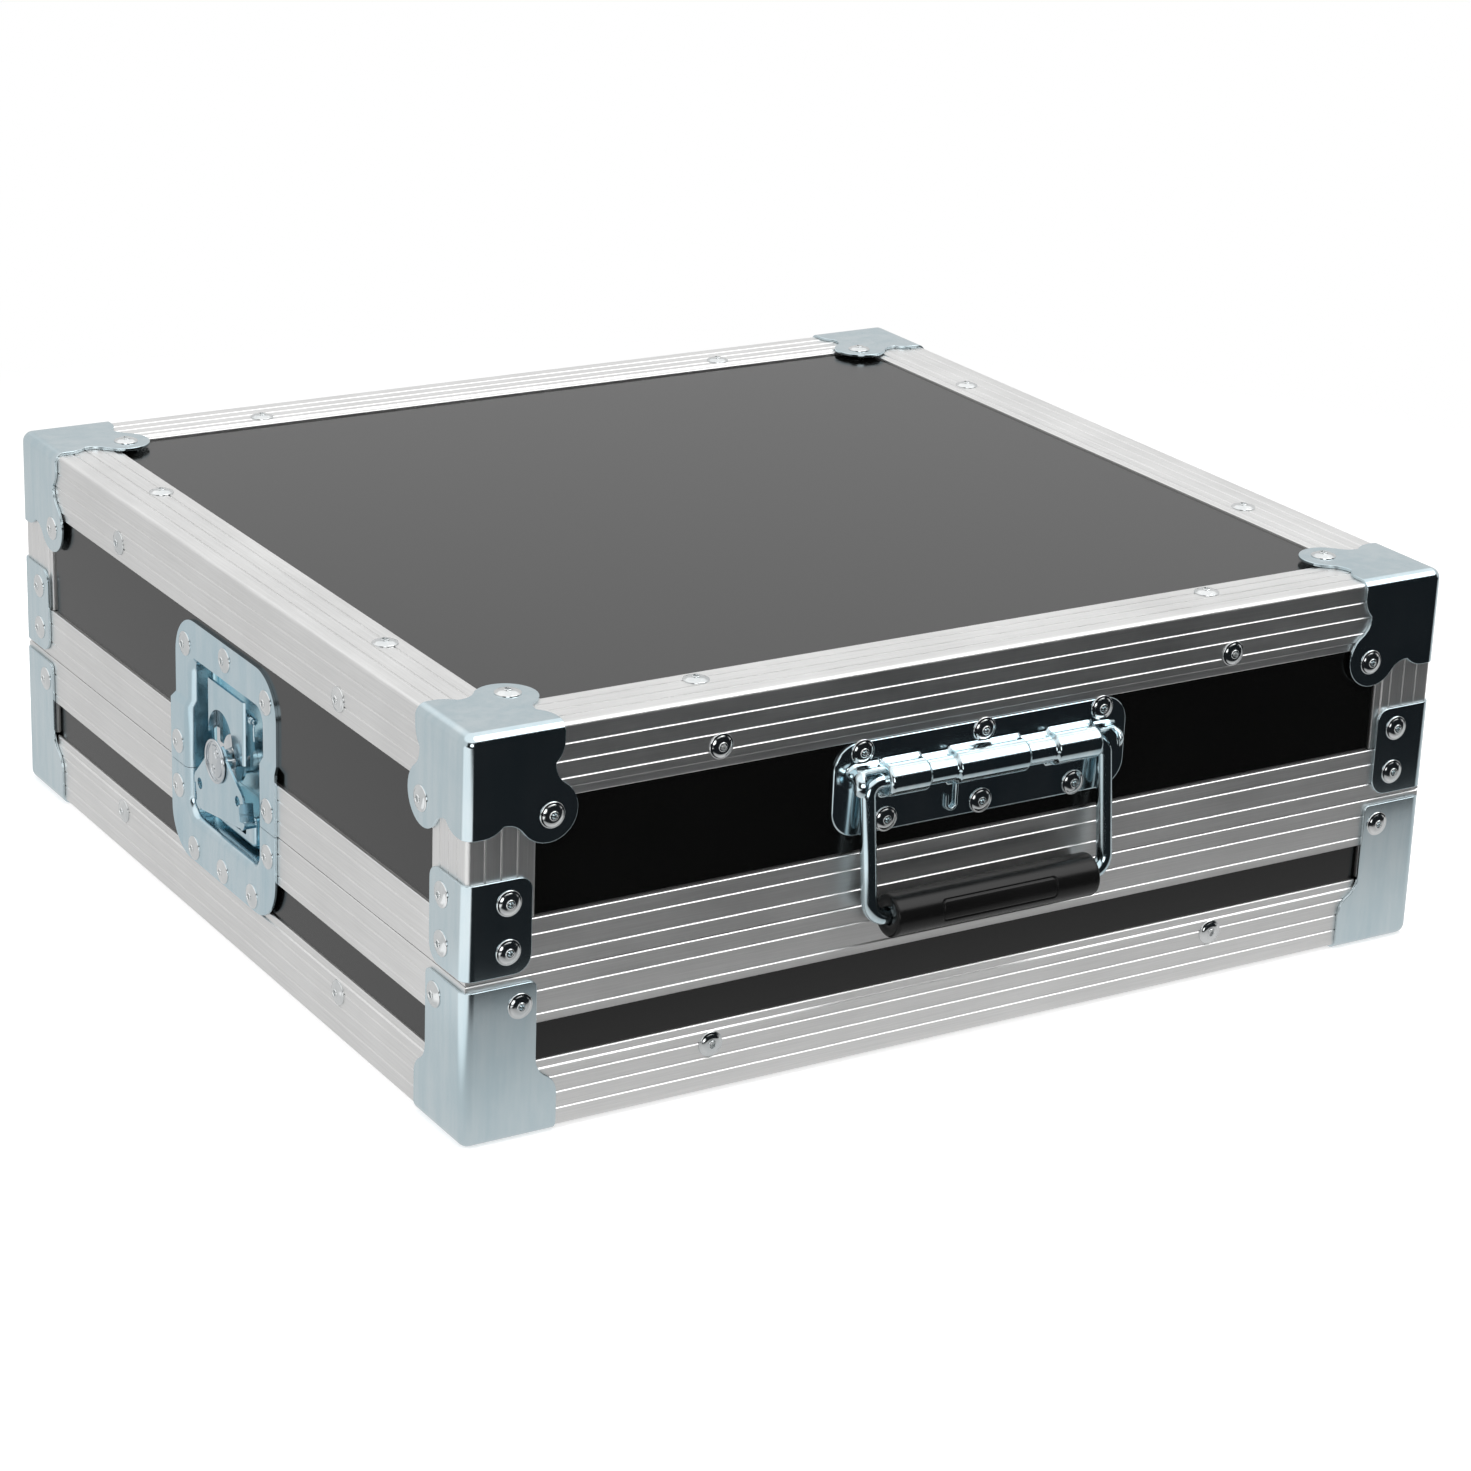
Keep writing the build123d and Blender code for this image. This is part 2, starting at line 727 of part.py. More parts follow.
def pocket_body(grow, low, high):
    # hollow of the pocket, or its outside when grown by the sheet, widening towards the flange
    half = pocket_half_width + grow
    floor = pocket_bottom - grow
    ceiling = pocket_top + grow
    corner = pocket_corner + grow
    throat = dish_sheet - shoulder - grow * math.tan(math.pi / 8)
    spread = high - throat

    def outline(extra):
        return soft_outline([
            (-half - extra, floor - extra, corner + extra), (half + extra, floor - extra, corner + extra),
            (half + extra, ceiling, corner), (-half - extra, ceiling, corner),
        ])

    well = extrude(Pos(0, 0, low) * outline(0), amount=high - low)
    mouth = loft([Pos(0, 0, throat) * outline(0), Pos(0, 0, high) * outline(spread)], ruled=True)
    return well + mouth


def keeper_solids():
    crown = keeper_sheet + 0.8
    section = soft_outline([
        (keeper_bottom, -pocket_depth - 0.1, 0), (keeper_bottom, keeper_face, crown),
        (keeper_top, keeper_face, crown), (keeper_top, -pocket_depth - 0.1, 0),
    ], steps=2)
    outer = extrude(Plane.YZ * section, amount=keeper_half_width, both=True)
    ends = outer.edges().filter_by(Axis.Y).group_by(Axis.Z)[-1]
    outer = chamfer(ends, crown / 2)
    inner = block(
        keeper_sheet - keeper_half_width, keeper_half_width - keeper_sheet,
        keeper_bottom + keeper_sheet, keeper_top - keeper_sheet,
        -2 * pocket_depth, keeper_face - keeper_sheet,
    )
    slot = block(
        -keeper_slot_half, keeper_slot_half, keeper_slot_low, keeper_slot_high,
        keeper_face - 3 * keeper_sheet, keeper_face + keeper_sheet
    )
    return outer, inner, slot


def flange_levels(lift):
    # height of the stepped flange along y, as points
    return [
        (2 * dish_bottom, lift), (dish_step_low, lift), (dish_step_high, lift - profile_wall),
        (2 * dish_top, lift - profile_wall),
    ]


def latch_dishes():
    below = [(2 * dish_top, -2 * dish_half_width), (2 * dish_bottom, -2 * dish_half_width)]
    below = Plane.YZ * make_face(Polyline(*flange_levels(dish_sheet / 2), *below, close=True))
    below = extrude(below, amount=2 * dish_half_width, both=True)
    shell = pocket_body(pocket_sheet, -pocket_depth - pocket_sheet, dish_sheet) & below
    dish = dish_flange() + shell - pocket_body(0, -pocket_depth, dish_sheet + 1)
    keeper, hollow, slot = keeper_solids()
    dish = dish + keeper - hollow - slot
    bearing = Cylinder(tail_radius + bearing_clearance, 4 * pocket_sheet)
    dish -= Pos(0, 0, -pocket_depth - pocket_sheet) * bearing
    split = seam_height - latch_height
    wide = 2 * dish_half_width
    upper = dish & block(-wide, wide, split + seam_gap, wide, -wide, wide)
    lower = dish & block(-wide, wide, -wide, split, -wide, wide)
    return upper, lower


def spindle():
    floor = -pocket_depth + floor_gap
    back_face = -pocket_depth - pocket_sheet - floor_gap
    turned = prism(head_radius, head_high - head_low, round_sides, head_low)
    turned = chamfer(turned.faces().sort_by(Axis.Z)[-1].edges(), head_edge)
    turned += prism(neck_radius, head_low - ring_high, round_sides, ring_high)
    turned += prism(ring_radius, ring_high - ring_low, round_sides, ring_low)
    turned += prism(hub_radius, ring_low - floor, round_sides, floor)
    turned += Pos(0, 0, (floor + back_face) / 2) * Cylinder(tail_radius, floor - back_face)
    turned += prism(tail_head_radius, tail_head_high, round_sides, back_face - tail_head_high)
    for sign in (-1, 1):
        place = Pos(sign * dimple_place[0], sign * dimple_place[1])
        turned -= place * prism(dimple_radius, 2 * dimple_depth, dimple_sides, head_high - dimple_depth)
    arm = block(arm_half_width - arm_width, arm_half_width, 0, pin_height, ring_low, ring_low + arm_sheet)
    arm += block(ring_radius / 2, arm_half_width, 0, arm_width, ring_low, ring_low + arm_sheet)
    lug = Pos(arm_half_width - arm_width / 2, pin_height, pin_depth) * Rot(0, 90, 0)
    arm += lug * prism(lug_radius, arm_width, lug_sides, -arm_width / 2)
    arm -= lug * Cylinder(pin_radius, 2 * arm_width)
    return turned + arm + mirror(arm, Plane.YZ)


def wing():
    low = wing_face - wing_sheet
    outline = soft_outline([
        (-wing_half_width, wing_bottom + 6, 0), (4 - wing_half_width, wing_bottom, 0),
        (wing_half_width, wing_bottom, 0), (wing_half_width, wing_top, wing_corner),
        (-wing_half_width, wing_top, wing_corner),
    ], steps=2)
    plate = extrude(Pos(0, 0, low) * outline, amount=wing_sheet)
    flange = make_face(Polyline(
        (wing_top - wing_corner, wing_face), (wing_top - wing_corner, wing_face - wing_flange_depth / 2),
        (pin_height + lug_radius, wing_face - wing_flange_depth),
        (wing_flange_end + 4, wing_face - wing_flange_depth), (wing_flange_end, wing_face), close=True,
    ))
    flange = extrude(Plane.YZ * flange, amount=wing_sheet)
    body = plate + Pos(wing_half_width - wing_sheet, 0, 0) * flange + Pos(-wing_half_width, 0, 0) * flange
    body -= prism(wing_notch_radius, 8 * wing_sheet, round_sides, -4 * wing_sheet, inside=True)
    body -= Pos(*finger_hole_place) * prism(finger_hole_radius, 8 * wing_sheet, round_sides, -4 * wing_sheet)
    hole = Pos(0, pin_height, pin_depth) * Rot(0, 90, 0)
    return body - hole * Cylinder(pin_radius + wing_pin_clearance, 4 * wing_half_width)


def wing_pin():
    middle_x = (pin_left + pin_right) / 2
    return Pos(middle_x, pin_height, pin_depth) * Rot(0, 90, 0) * Cylinder(pin_radius, pin_right - pin_left)


def coil_points():
    # middle line of the wing's spring, about Z
    count = round(spring_turns * spring_steps)
    points = []
    directions = []
    for step in range(count + 1):
        angle = 2 * math.pi * step / spring_steps
        rise = spring_pitch * step / spring_steps
        points.append(Vector(spring_radius * math.cos(angle), spring_radius * math.sin(angle), rise))
        climb = spring_pitch / (2 * math.pi)
        directions.append(Vector(-spring_radius * math.sin(angle), spring_radius * math.cos(angle), climb))
    return points, directions


def coil_gap(points):
    # least distance between turns that lie over each other, less the wire
    pairs = [
        (first - second).length for index, first in enumerate(points)
        for second in points[index + spring_steps // 2 + 1:]
    ]
    return min(pairs) - spring_wire


def wing_spring():
    start = wing_half_width + spring_side_gap + spring_wire / 2
    points, directions = coil_points()
    rings = []
    for point, direction in zip(points, directions):
        outwards = Vector(point.X, point.Y, 0)
        section = RegularPolygon(spring_wire / 2, spring_sides)
        rings.append(Plane(origin=point, x_dir=outwards, z_dir=direction) * section)
    return Pos(start, pin_height, pin_depth) * Rot(0, 90, 0) * loft(rings, ruled=True)


def hasp():
    high = hasp_low + hasp_sheet
    outline = soft_outline([
        (-hasp_half_width, hasp_bottom, hasp_corner), (hasp_half_width, hasp_bottom, hasp_corner),
        (hasp_half_width, hasp_shoulder, hasp_corner), (hasp_top_half_width, hasp_top, 0),
        (-hasp_top_half_width, hasp_top, 0), (-hasp_half_width, hasp_shoulder, hasp_corner),
    ])
    outline = outline + RegularPolygon(hasp_yoke_radius, round_sides)
    plate = extrude(Pos(0, 0, hasp_low) * outline, amount=hasp_sheet)
    reach = hasp_half_width - hasp_corner
    lip = block(-reach, reach, hasp_bottom, hasp_bottom + hasp_sheet, hasp_low - hasp_flange, hasp_low)
    body = plate + lip
    flange_low = hasp_bottom + hasp_corner
    flange_high = hasp_shoulder - hasp_corner
    for sign in (-1, 1):
        near, far = sorted((sign * (hasp_half_width - hasp_sheet), sign * hasp_half_width))
        body += block(near, far, flange_low, flange_high, hasp_low - hasp_flange, hasp_low)
        hole = prism(hasp_hole_radius, 3 * hasp_sheet, dimple_sides, hasp_low - hasp_sheet)
        body -= Pos(sign * hasp_hole_place[0], hasp_hole_place[1]) * hole
    edge = hasp_half_width
    body += block(edge - hasp_sheet, edge, flange_high - hasp_tab_length, flange_high, high, high + hasp_tab)
    body = Rot(0, 0, hasp_lean) * body
    half = neck_radius + hasp_slot_clearance
    slot = block(-half, half, 0, hasp_yoke_radius * 2, hasp_low - 1, high + 1)
    slot += prism(half, 4 * hasp_sheet, round_sides, hasp_low - hasp_sheet, inside=True)
    return body - slot


def build_latches():
    upper, lower = latch_dishes()
    pieces = {
        "upper_dish": upper, "keeper_dish": lower, "spindle": spindle(), "wing": wing(),
        "wing_pin": wing_pin(), "wing_spring": wing_spring(), "hasp": hasp(),
    }
    for side in ("left", "right"):
        location = latch_frame(side).location
        for name, piece in pieces.items():
            parts[f"{side}_{name}"] = location * piece


# Handle

def handle_frame():
    return side_frame("front")


def along_x(points, span):
    # a prism along X over points of height and reach out of the panel
    section = Plane.YZ * make_face(Polyline(*points, close=True))
    return Pos(span[0], 0, 0) * extrude(section, amount=span[1] - span[0])


def ring_points(radius, start, end, steps=round_sides // 2):
    # points round the bail's pivot, angles counted from straight out towards the top
    angles = [math.radians(start + (end - start) * step / steps) for step in range(steps + 1)]
    return [
        (barrel_height + radius * math.sin(angle), barrel_axis_out + radius * math.cos(angle))
        for angle in angles
    ]


def barrel_segment(span, radius):
    skirt = [(barrel_height - radius, -profile_wall), (barrel_height + radius, -profile_wall)]
    return along_x(ring_points(radius, 90, -90) + skirt, span)


def stop_tab(span):
    # tab pressed out of the plate, curled over the bail's pivot and out of the bail's way
    start, end = stop_tab_angles
    outer = ring_points(stop_tab_radius, start, end)
    inner = ring_points(stop_tab_radius - plate_sheet, end, start)
    return along_x(outer + inner, span)


def handle_plate():
    low = -profile_wall
    plate = soft_outline([
        (sign_x * plate_half_width, (plate_high if sign_y > 0 else plate_low), plate_corner)
        for sign_x, sign_y in ((-1, -1), (1, -1), (1, 1), (-1, 1))
    ], steps=4)
    body = extrude(Pos(0, 0, low) * plate, amount=plate_sheet)
    for span in hump_spans:
        body += barrel_segment(span, hump_radius)
    for span in neck_spans:
        body += barrel_segment(span, neck_hump_radius)
    for sign in (-1, 1):
        body += stop_tab(sorted(sign * value for value in stop_tab_span))
    wide = 3 * plate_half_width
    body &= block(-wide, wide, 0, case_height, low, wide)
    axis = Pos(0, barrel_height, barrel_axis_out) * Rot(0, 90, 0)
    body -= axis * Cylinder(bail_wire + bail_pivot_clearance, 2 * hump_spans[2][1] + 0.5)
    reach = coil_half + 0.5
    body -= axis * prism(coil_outer + coil_clearance, 2 * reach, round_sides, -reach)
    half = tail_wire + coil_clearance
    low = barrel_height - 2 * hump_radius
    slot_out = plate_sheet - profile_wall
    high_out = slot_out + 4 * tail_wire
    return body - block(tail_near - half, tail_near + half, low, barrel_height, slot_out, high_out)


def handle_bail():
    # bent wire from one pivot end round the grip to the other, its bends as a few chords
    lean = grip_radius + grip_gap
    path = FilletPolyline(
        (-bail_pivot_inner, barrel_height, barrel_axis_out),
        (-bail_half_width, barrel_height, barrel_axis_out),
        (-bail_half_width, grip_height, lean), (bail_half_width, grip_height, lean),
        (bail_half_width, barrel_height, barrel_axis_out), (bail_pivot_inner, barrel_height, barrel_axis_out),
        radius=(bail_top_radius, bail_low_radius, bail_low_radius, bail_top_radius),
    )
    points = [path @ 0]
    for edge in path.edges():
        steps = 1 if edge.geom_type == GeomType.LINE else bail_bend_steps
        points += [edge @ (step / steps) for step in range(1, steps + 1)]
    chords = Polyline(*points)
    section = Plane(origin=chords @ 0, z_dir=chords % 0) * RegularPolygon(bail_wire, round_sides)
    return sweep(section, path=chords, transition=Transition.RIGHT)


def handle_grip():
    out = grip_radius + grip_gap
    axis = Pos(0, grip_height, out) * Rot(0, 90, 0)
    body = prism(grip_radius, 2 * grip_half_length, grip_sides, -grip_half_length)
    ends = body.faces().sort_by(Axis.Z)
    body = chamfer(ends[0].edges() + ends[-1].edges(), grip_edge)
    bore = prism(bail_wire, 4 * grip_half_length, round_sides, -2 * grip_half_length, inside=True)
    body = axis * (body - bore)
    label = block(
        -grip_label_half, grip_label_half, grip_height - grip_label_tall, grip_height + grip_label_tall,
        out, out + 2 * grip_radius,
    )
    core = prism(grip_radius - grip_label_deep, 4 * grip_half_length, grip_sides, -2 * grip_half_length)
    return body - (label - axis * core)


def handle_spring():
    axis = Pos(0, barrel_height, barrel_axis_out) * Rot(0, 90, 0)
    sleeve = prism(coil_outer, 2 * coil_half, round_sides, -coil_half)
    sleeve -= prism(bail_wire + coil_clearance, 3 * coil_half, round_sides, -1.5 * coil_half, inside=True)
    out = plate_sheet - profile_wall + tail_wire + coil_clearance
    bend = (tail_near - tail_far) / 2
    points = [(tail_near, barrel_height - bail_wire), (tail_near, tail_low + bend)]
    points += [
        (tail_near - bend + bend * math.cos(angle), tail_low + bend - bend * math.sin(angle))
        for angle in (math.radians(30 * step) for step in range(1, 6))
    ]
    points += [(tail_far, tail_low + bend), (tail_far, tail_end)]
    chords = Polyline(*[(x, y, out) for x, y in points])
    section = Plane(origin=chords @ 0, z_dir=chords % 0) * RegularPolygon(tail_wire, spring_sides)
    return axis * sleeve + sweep(section, path=chords, transition=Transition.RIGHT)


def build_handle():
    location = handle_frame().location
    parts["handle_plate"] = location * handle_plate()
    parts["handle_bail"] = location * handle_bail()
    parts["handle_grip"] = location * handle_grip()
    parts["handle_spring"] = location * handle_spring()


build_profiles()
build_panels()
build_caps()
build_rivets()
build_foam()
build_latches()
build_handle()

os.makedirs("parts", exist_ok=True)
for name, shape in parts.items():
    export_step(shape, f"parts/{name}.step")
spring_gap = round(coil_gap(coil_points()[0]), 2)
print(len(parts), "pieces written; least gap between the turns of a wing's spring, mm:", spring_gap)
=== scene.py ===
"""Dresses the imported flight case: profiles, corner steel, rivets, latches, handle, foam and stage."""

import logging
import math
from dataclasses import dataclass
from enum import Enum
from typing import Any, Callable, Iterable, Sequence

import bmesh
import bpy
from mathutils import Matrix, Vector


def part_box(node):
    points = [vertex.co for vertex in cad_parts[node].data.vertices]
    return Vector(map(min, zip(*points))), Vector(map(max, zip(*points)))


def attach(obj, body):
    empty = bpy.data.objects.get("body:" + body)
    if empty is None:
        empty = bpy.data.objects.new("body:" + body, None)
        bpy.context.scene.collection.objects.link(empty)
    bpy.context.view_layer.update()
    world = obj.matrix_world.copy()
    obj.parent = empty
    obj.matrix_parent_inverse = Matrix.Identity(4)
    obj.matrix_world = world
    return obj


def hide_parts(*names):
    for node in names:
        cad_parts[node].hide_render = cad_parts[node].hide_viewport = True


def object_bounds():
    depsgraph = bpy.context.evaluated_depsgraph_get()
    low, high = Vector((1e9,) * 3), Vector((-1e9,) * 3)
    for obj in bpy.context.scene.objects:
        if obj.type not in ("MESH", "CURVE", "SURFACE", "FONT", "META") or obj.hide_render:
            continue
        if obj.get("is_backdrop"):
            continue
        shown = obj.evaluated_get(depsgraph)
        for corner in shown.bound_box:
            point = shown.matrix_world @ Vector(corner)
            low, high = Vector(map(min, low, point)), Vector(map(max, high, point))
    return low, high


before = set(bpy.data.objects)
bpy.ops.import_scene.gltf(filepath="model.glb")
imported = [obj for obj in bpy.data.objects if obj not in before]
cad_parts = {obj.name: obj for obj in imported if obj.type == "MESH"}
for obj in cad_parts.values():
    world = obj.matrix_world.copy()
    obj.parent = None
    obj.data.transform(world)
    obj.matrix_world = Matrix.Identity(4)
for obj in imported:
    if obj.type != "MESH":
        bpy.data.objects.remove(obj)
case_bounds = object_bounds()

log = logging.getLogger("flight_case")

MM = 0.001
MERGE = 2e-6
TINY = 1e-6
Span = tuple[float, float]
Point2 = tuple[float, float]
Point3 = tuple[float, float, float]
Colour = tuple[float, float, float]
Placer = Callable[[float, float, float], Vector]


class Side(Enum):
    """The four upright sides of the case."""

    FRONT = "front"
    BACK = "back"
    LEFT = "left"
    RIGHT = "right"


class Corner(Enum):
    """The four upright corners, as front or back and left or right."""

    FRONT_LEFT = "front_left"
    FRONT_RIGHT = "front_right"
    BACK_LEFT = "back_left"
    BACK_RIGHT = "back_right"

    @property
    def signs(self) -> tuple[int, int]:
        """Signs of X and Y at this corner."""
        depth, width = self.value.split("_")
        return (1 if width == "right" else -1, 1 if depth == "back" else -1)


class Grain(Enum):
    """The direction in which a profile was drawn."""

    ALONG_X = (1.0, 60.0, 60.0)
    ALONG_Y = (60.0, 1.0, 60.0)
    ALONG_Z = (60.0, 60.0, 1.0)

    @classmethod
    def of(cls, side: Side) -> "Grain":
        """Grain of the level profiles on a side."""
        return cls.ALONG_X if side in (Side.FRONT, Side.BACK) else cls.ALONG_Y


# Shader nodes written as expressions


class Sock:
    """A node's output, so that shader maths reads as Python."""

    def __init__(self, bench: "Bench", socket: bpy.types.NodeSocket) -> None:
        """Wraps one output socket of a bench's tree."""
        self.bench = bench
        self.socket = socket

    def _math(self, operation: str, first: Any, second: Any) -> "Sock":
        """Value of a Math node on two numbers or Socks."""
        return self.bench.node("ShaderNodeMath", {"operation": operation}, {0: first, 1: second})[0]

    def __add__(self, other: Any) -> "Sock":
        """Sum."""
        return self._math("ADD", self, other)

    def __radd__(self, other: Any) -> "Sock":
        """Reflected sum."""
        return self._math("ADD", other, self)

    def __sub__(self, other: Any) -> "Sock":
        """Difference."""
        return self._math("SUBTRACT", self, other)

    def __rsub__(self, other: Any) -> "Sock":
        """Reflected difference."""
        return self._math("SUBTRACT", other, self)

    def __mul__(self, other: Any) -> "Sock":
        """Product."""
        return self._math("MULTIPLY", self, other)

    def __rmul__(self, other: Any) -> "Sock":
        """Reflected product."""
        return self._math("MULTIPLY", other, self)

    def ramp(self, low: float, high: float, to_low: float = 0.0, to_high: float = 1.0) -> "Sock":
        """Maps a range smoothly onto another.

        Args:
            low: value that gives to_low.
            high: value that gives to_high.
            to_low: result at low.
            to_high: result at high.

        Returns:
            The mapped value.
        """
        values = {"Value": self, "From Min": low, "From Max": high, "To Min": to_low, "To Max": to_high}
        settings = {"interpolation_type": "SMOOTHSTEP"}
        return self.bench.node("ShaderNodeMapRange", settings, values)["Result"]


class Made:
    """A node that has been made, whose outputs are read as Socks."""

    def __init__(self, bench: "Bench", node: bpy.types.Node) -> None:
        """Wraps one node."""
        self.bench = bench
        self.node = node

    def __getitem__(self, key: int | str) -> Sock:
        """Output by name or index."""
        return Sock(self.bench, self.node.outputs[key])


class Bench:
    """Builds one node tree."""

    def __init__(self, tree: bpy.types.NodeTree) -> None:
        """Starts from an empty tree."""
        self.tree = tree
        tree.nodes.clear()

    def node(self, kind: str, settings: dict[str, Any] | None = None,
             values: dict[int | str, Any] | None = None) -> Made:
        """Adds a node of any kind.

        Args:
            kind: the node's type name.
            settings: properties set first, with "stops" for a colour ramp.
            values: numbers, tuples or Socks for its inputs.

        Returns:
            The made node.
        """
        made = self.tree.nodes.new(kind)
        for name, value in (settings or {}).items():
            if name == "stops":
                ramp = made.color_ramp
                while len(ramp.elements) < len(value):
                    ramp.elements.new(0.5)
                for element, (place, colour) in zip(ramp.elements, value):
                    element.position = place
                    element.color = (*colour, 1.0)
            else:
                setattr(made, name, value)
        for key, value in (values or {}).items():
            socket = made.inputs[key]
            if isinstance(value, Sock):
                self.tree.links.new(value.socket, socket)
            elif value is not None:
                socket.default_value = value
        return Made(self, made)

    def mix_colour(self, factor: Any, first: Any, second: Any) -> Sock:
        """Mix of two colours or Socks, by a factor that is a number or a Sock."""
        first, second = (value if isinstance(value, Sock) else (*value, 1.0) for value in (first, second))
        return self.node("ShaderNodeMix", {"data_type": "RGBA"}, {0: factor, 6: first, 7: second})[2]

    def coordinates(self, scale: Sequence[float] = (1.0, 1.0, 1.0)) -> Sock:
        """Object coordinates, stretched by a scale."""
        place = self.node("ShaderNodeTexCoord")["Object"]
        return self.node("ShaderNodeMapping", None, {"Vector": place, "Scale": tuple(scale)})["Vector"]

    def noise(self, vector: Sock, scale: float, detail: float = 3.0, rough: float = 0.5) -> Sock:
        """Noise value on a vector."""
        values = {"Vector": vector, "Scale": scale, "Detail": detail, "Roughness": rough}
        return self.node("ShaderNodeTexNoise", None, values)["Fac"]

    def bump(self, height: Sock, distance: float, strength: float) -> Sock:
        """Normal of a height field in metres."""
        values = {"Height": height, "Distance": distance, "Strength": strength}
        return self.node("ShaderNodeBump", None, values)["Normal"]


# Finishes


@dataclass(frozen=True)
class Finish:
    """A finish: its name, and the material slot of the record that it stands for."""

    name: str
    slot: str

    def dress(self, bench: Bench) -> dict[str, Any]:
        """Numbers, colours and Socks for the shader's inputs. Each finish has its own."""
        raise NotImplementedError

    def material(self) -> bpy.types.Material:
        """The material, made once.

        Returns:
            The material with this finish's name.
        """
        found = bpy.data.materials.get(self.name)
        if found:
            return found
        made = bpy.data.materials.new(self.name)
        made.use_nodes = True
        bench = Bench(made.node_tree)
        shader = bench.node("ShaderNodeBsdfPrincipled", None, self.dress(bench))
        bench.node("ShaderNodeOutputMaterial", None, {"Surface": shader["BSDF"]})
        return made


@dataclass(frozen=True)
class DrawnAluminium(Finish):
    """Mill-finish aluminium with fine draw lines along the profile."""

    grain: Grain = Grain.ALONG_X
    pale: Colour = (0.85, 0.85, 0.845)
    dull: Colour = (0.74, 0.74, 0.735)

    def dress(self, bench: Bench) -> dict[str, Any]:
        """Fine streaks in colour, gloss and height along the draw direction."""
        streaks = bench.noise(bench.coordinates(self.grain.value), 26.0, 4.0, 0.62)
        broad = bench.noise(bench.coordinates(), 17.0, 3.0, 0.6)
        finer = [3.0 * value for value in self.grain.value]
        fine = bench.noise(bench.coordinates(finer), 30.0, 2.0)
        tone = (streaks * 0.6 + broad * 0.4).ramp(0.3, 0.7)
        return {
            "Metallic": 1.0,
            "Base Color": bench.mix_colour(tone, self.dull, self.pale),
            "Roughness": 0.31 + streaks * 0.12 + broad * 0.10,
            "Normal": bench.bump(streaks * 0.6 + fine * 0.4, 0.00006, 0.4),
        }


@dataclass(frozen=True)
class ZincPlate(Finish):
    """Bright blue-passivated zinc on pressed steel."""

    blue: Colour = (0.54, 0.66, 0.71)
    pale: Colour = (0.65, 0.74, 0.775)
    gloss: float = 0.10
    ripple: float = 0.25
    # Painted shade: a darker, bluer colour for a dish's pocket, which starts at the first X distance and is
    # full at the second.
    hollow: Colour | None = None
    hollow_shade_from: float = 0.2400
    hollow_shade_full: float = 0.2340

    def dress(self, bench: Bench) -> dict[str, Any]:
        """Cloudy tint, with painted shade that turns it darker and bluer in a dish's hollow, and drawn
        streaks, scuffs and a rippled surface.
        """
        place = bench.coordinates()
        cloud = bench.noise(place, 30.0, 4.0, 0.6)
        streak = bench.noise(bench.coordinates((1.0, 1.0, 0.12)), 150.0, 3.0, 0.6)
        ripple = bench.noise(place, 60.0, 2.0, 0.5)
        scuff = bench.noise(bench.coordinates((1.0, 1.0, 5.0)), 420.0, 5.0, 0.75)
        wear = scuff.ramp(0.58, 0.76)
        tone = (cloud * 0.45 + streak * 0.55).ramp(0.30, 0.72)
        colour = bench.mix_colour(tone, self.blue, self.pale)
        # Painted shade: deeper inside the latch's pocket the colour turns to the darker, bluer hollow
        # colour.
        if self.hollow:
            x = bench.node("ShaderNodeSeparateXYZ", None, {"Vector": place})["X"]
            reach = (x * x).ramp(self.hollow_shade_from ** 2, self.hollow_shade_full ** 2)
            colour = bench.mix_colour(reach, colour, self.hollow)
        return {
            "Metallic": 1.0,
            "Base Color": colour,
            "Roughness": self.gloss + cloud * 0.06 + wear * 0.10,
            "Normal": bench.bump(ripple + wear * 0.05, 0.00018, self.ripple),
        }


@dataclass(frozen=True)
class Laminate(Finish):
    """Black phenolic film on plywood, satin, with a fine pressed grain."""

    black: Colour = (0.0014, 0.0014, 0.0013)
    grey: Colour = (0.0026, 0.0026, 0.0024)

    def dress(self, bench: Bench) -> dict[str, Any]:
        """A fine grain in height and gloss, and faint handling marks."""
        place = bench.coordinates()
        grain = bench.noise(place, 1500.0, 2.0, 0.6)
        cloud = bench.noise(place, 9.0, 4.0, 0.6)
        marks = bench.noise(bench.coordinates((1.0, 3.0, 1.0)), 60.0, 6.0, 0.72).ramp(0.6, 0.8)
        return {
            "Base Color": bench.mix_colour(cloud, self.black, self.grey),
            "Roughness": 0.13 + cloud * 0.06 + marks * 0.06,
            "Normal": bench.bump(grain, 0.00003, 0.4),
        }


@dataclass(frozen=True)
class GripRubber(Finish):
    """Black moulded grip with a soft sheen."""

    black: Colour = (0.003, 0.003, 0.003)
    bloomed: Colour = (0.006, 0.006, 0.006)
    sheen: float = 0.22

    def dress(self, bench: Bench) -> dict[str, Any]:
        """A fine moulded texture and a slight bloom."""
        place = bench.coordinates()
        grain = bench.noise(place, 1800.0, 2.0, 0.6)
        bloom = bench.noise(place, 40.0, 3.0, 0.6)
        return {
            "Base Color": bench.mix_colour(bloom, self.black, self.bloomed),
            "Roughness": 0.20 + bloom * 0.08,
            "Specular IOR Level": self.sheen,
            "Normal": bench.bump(grain, 0.00006, 0.4),
        }


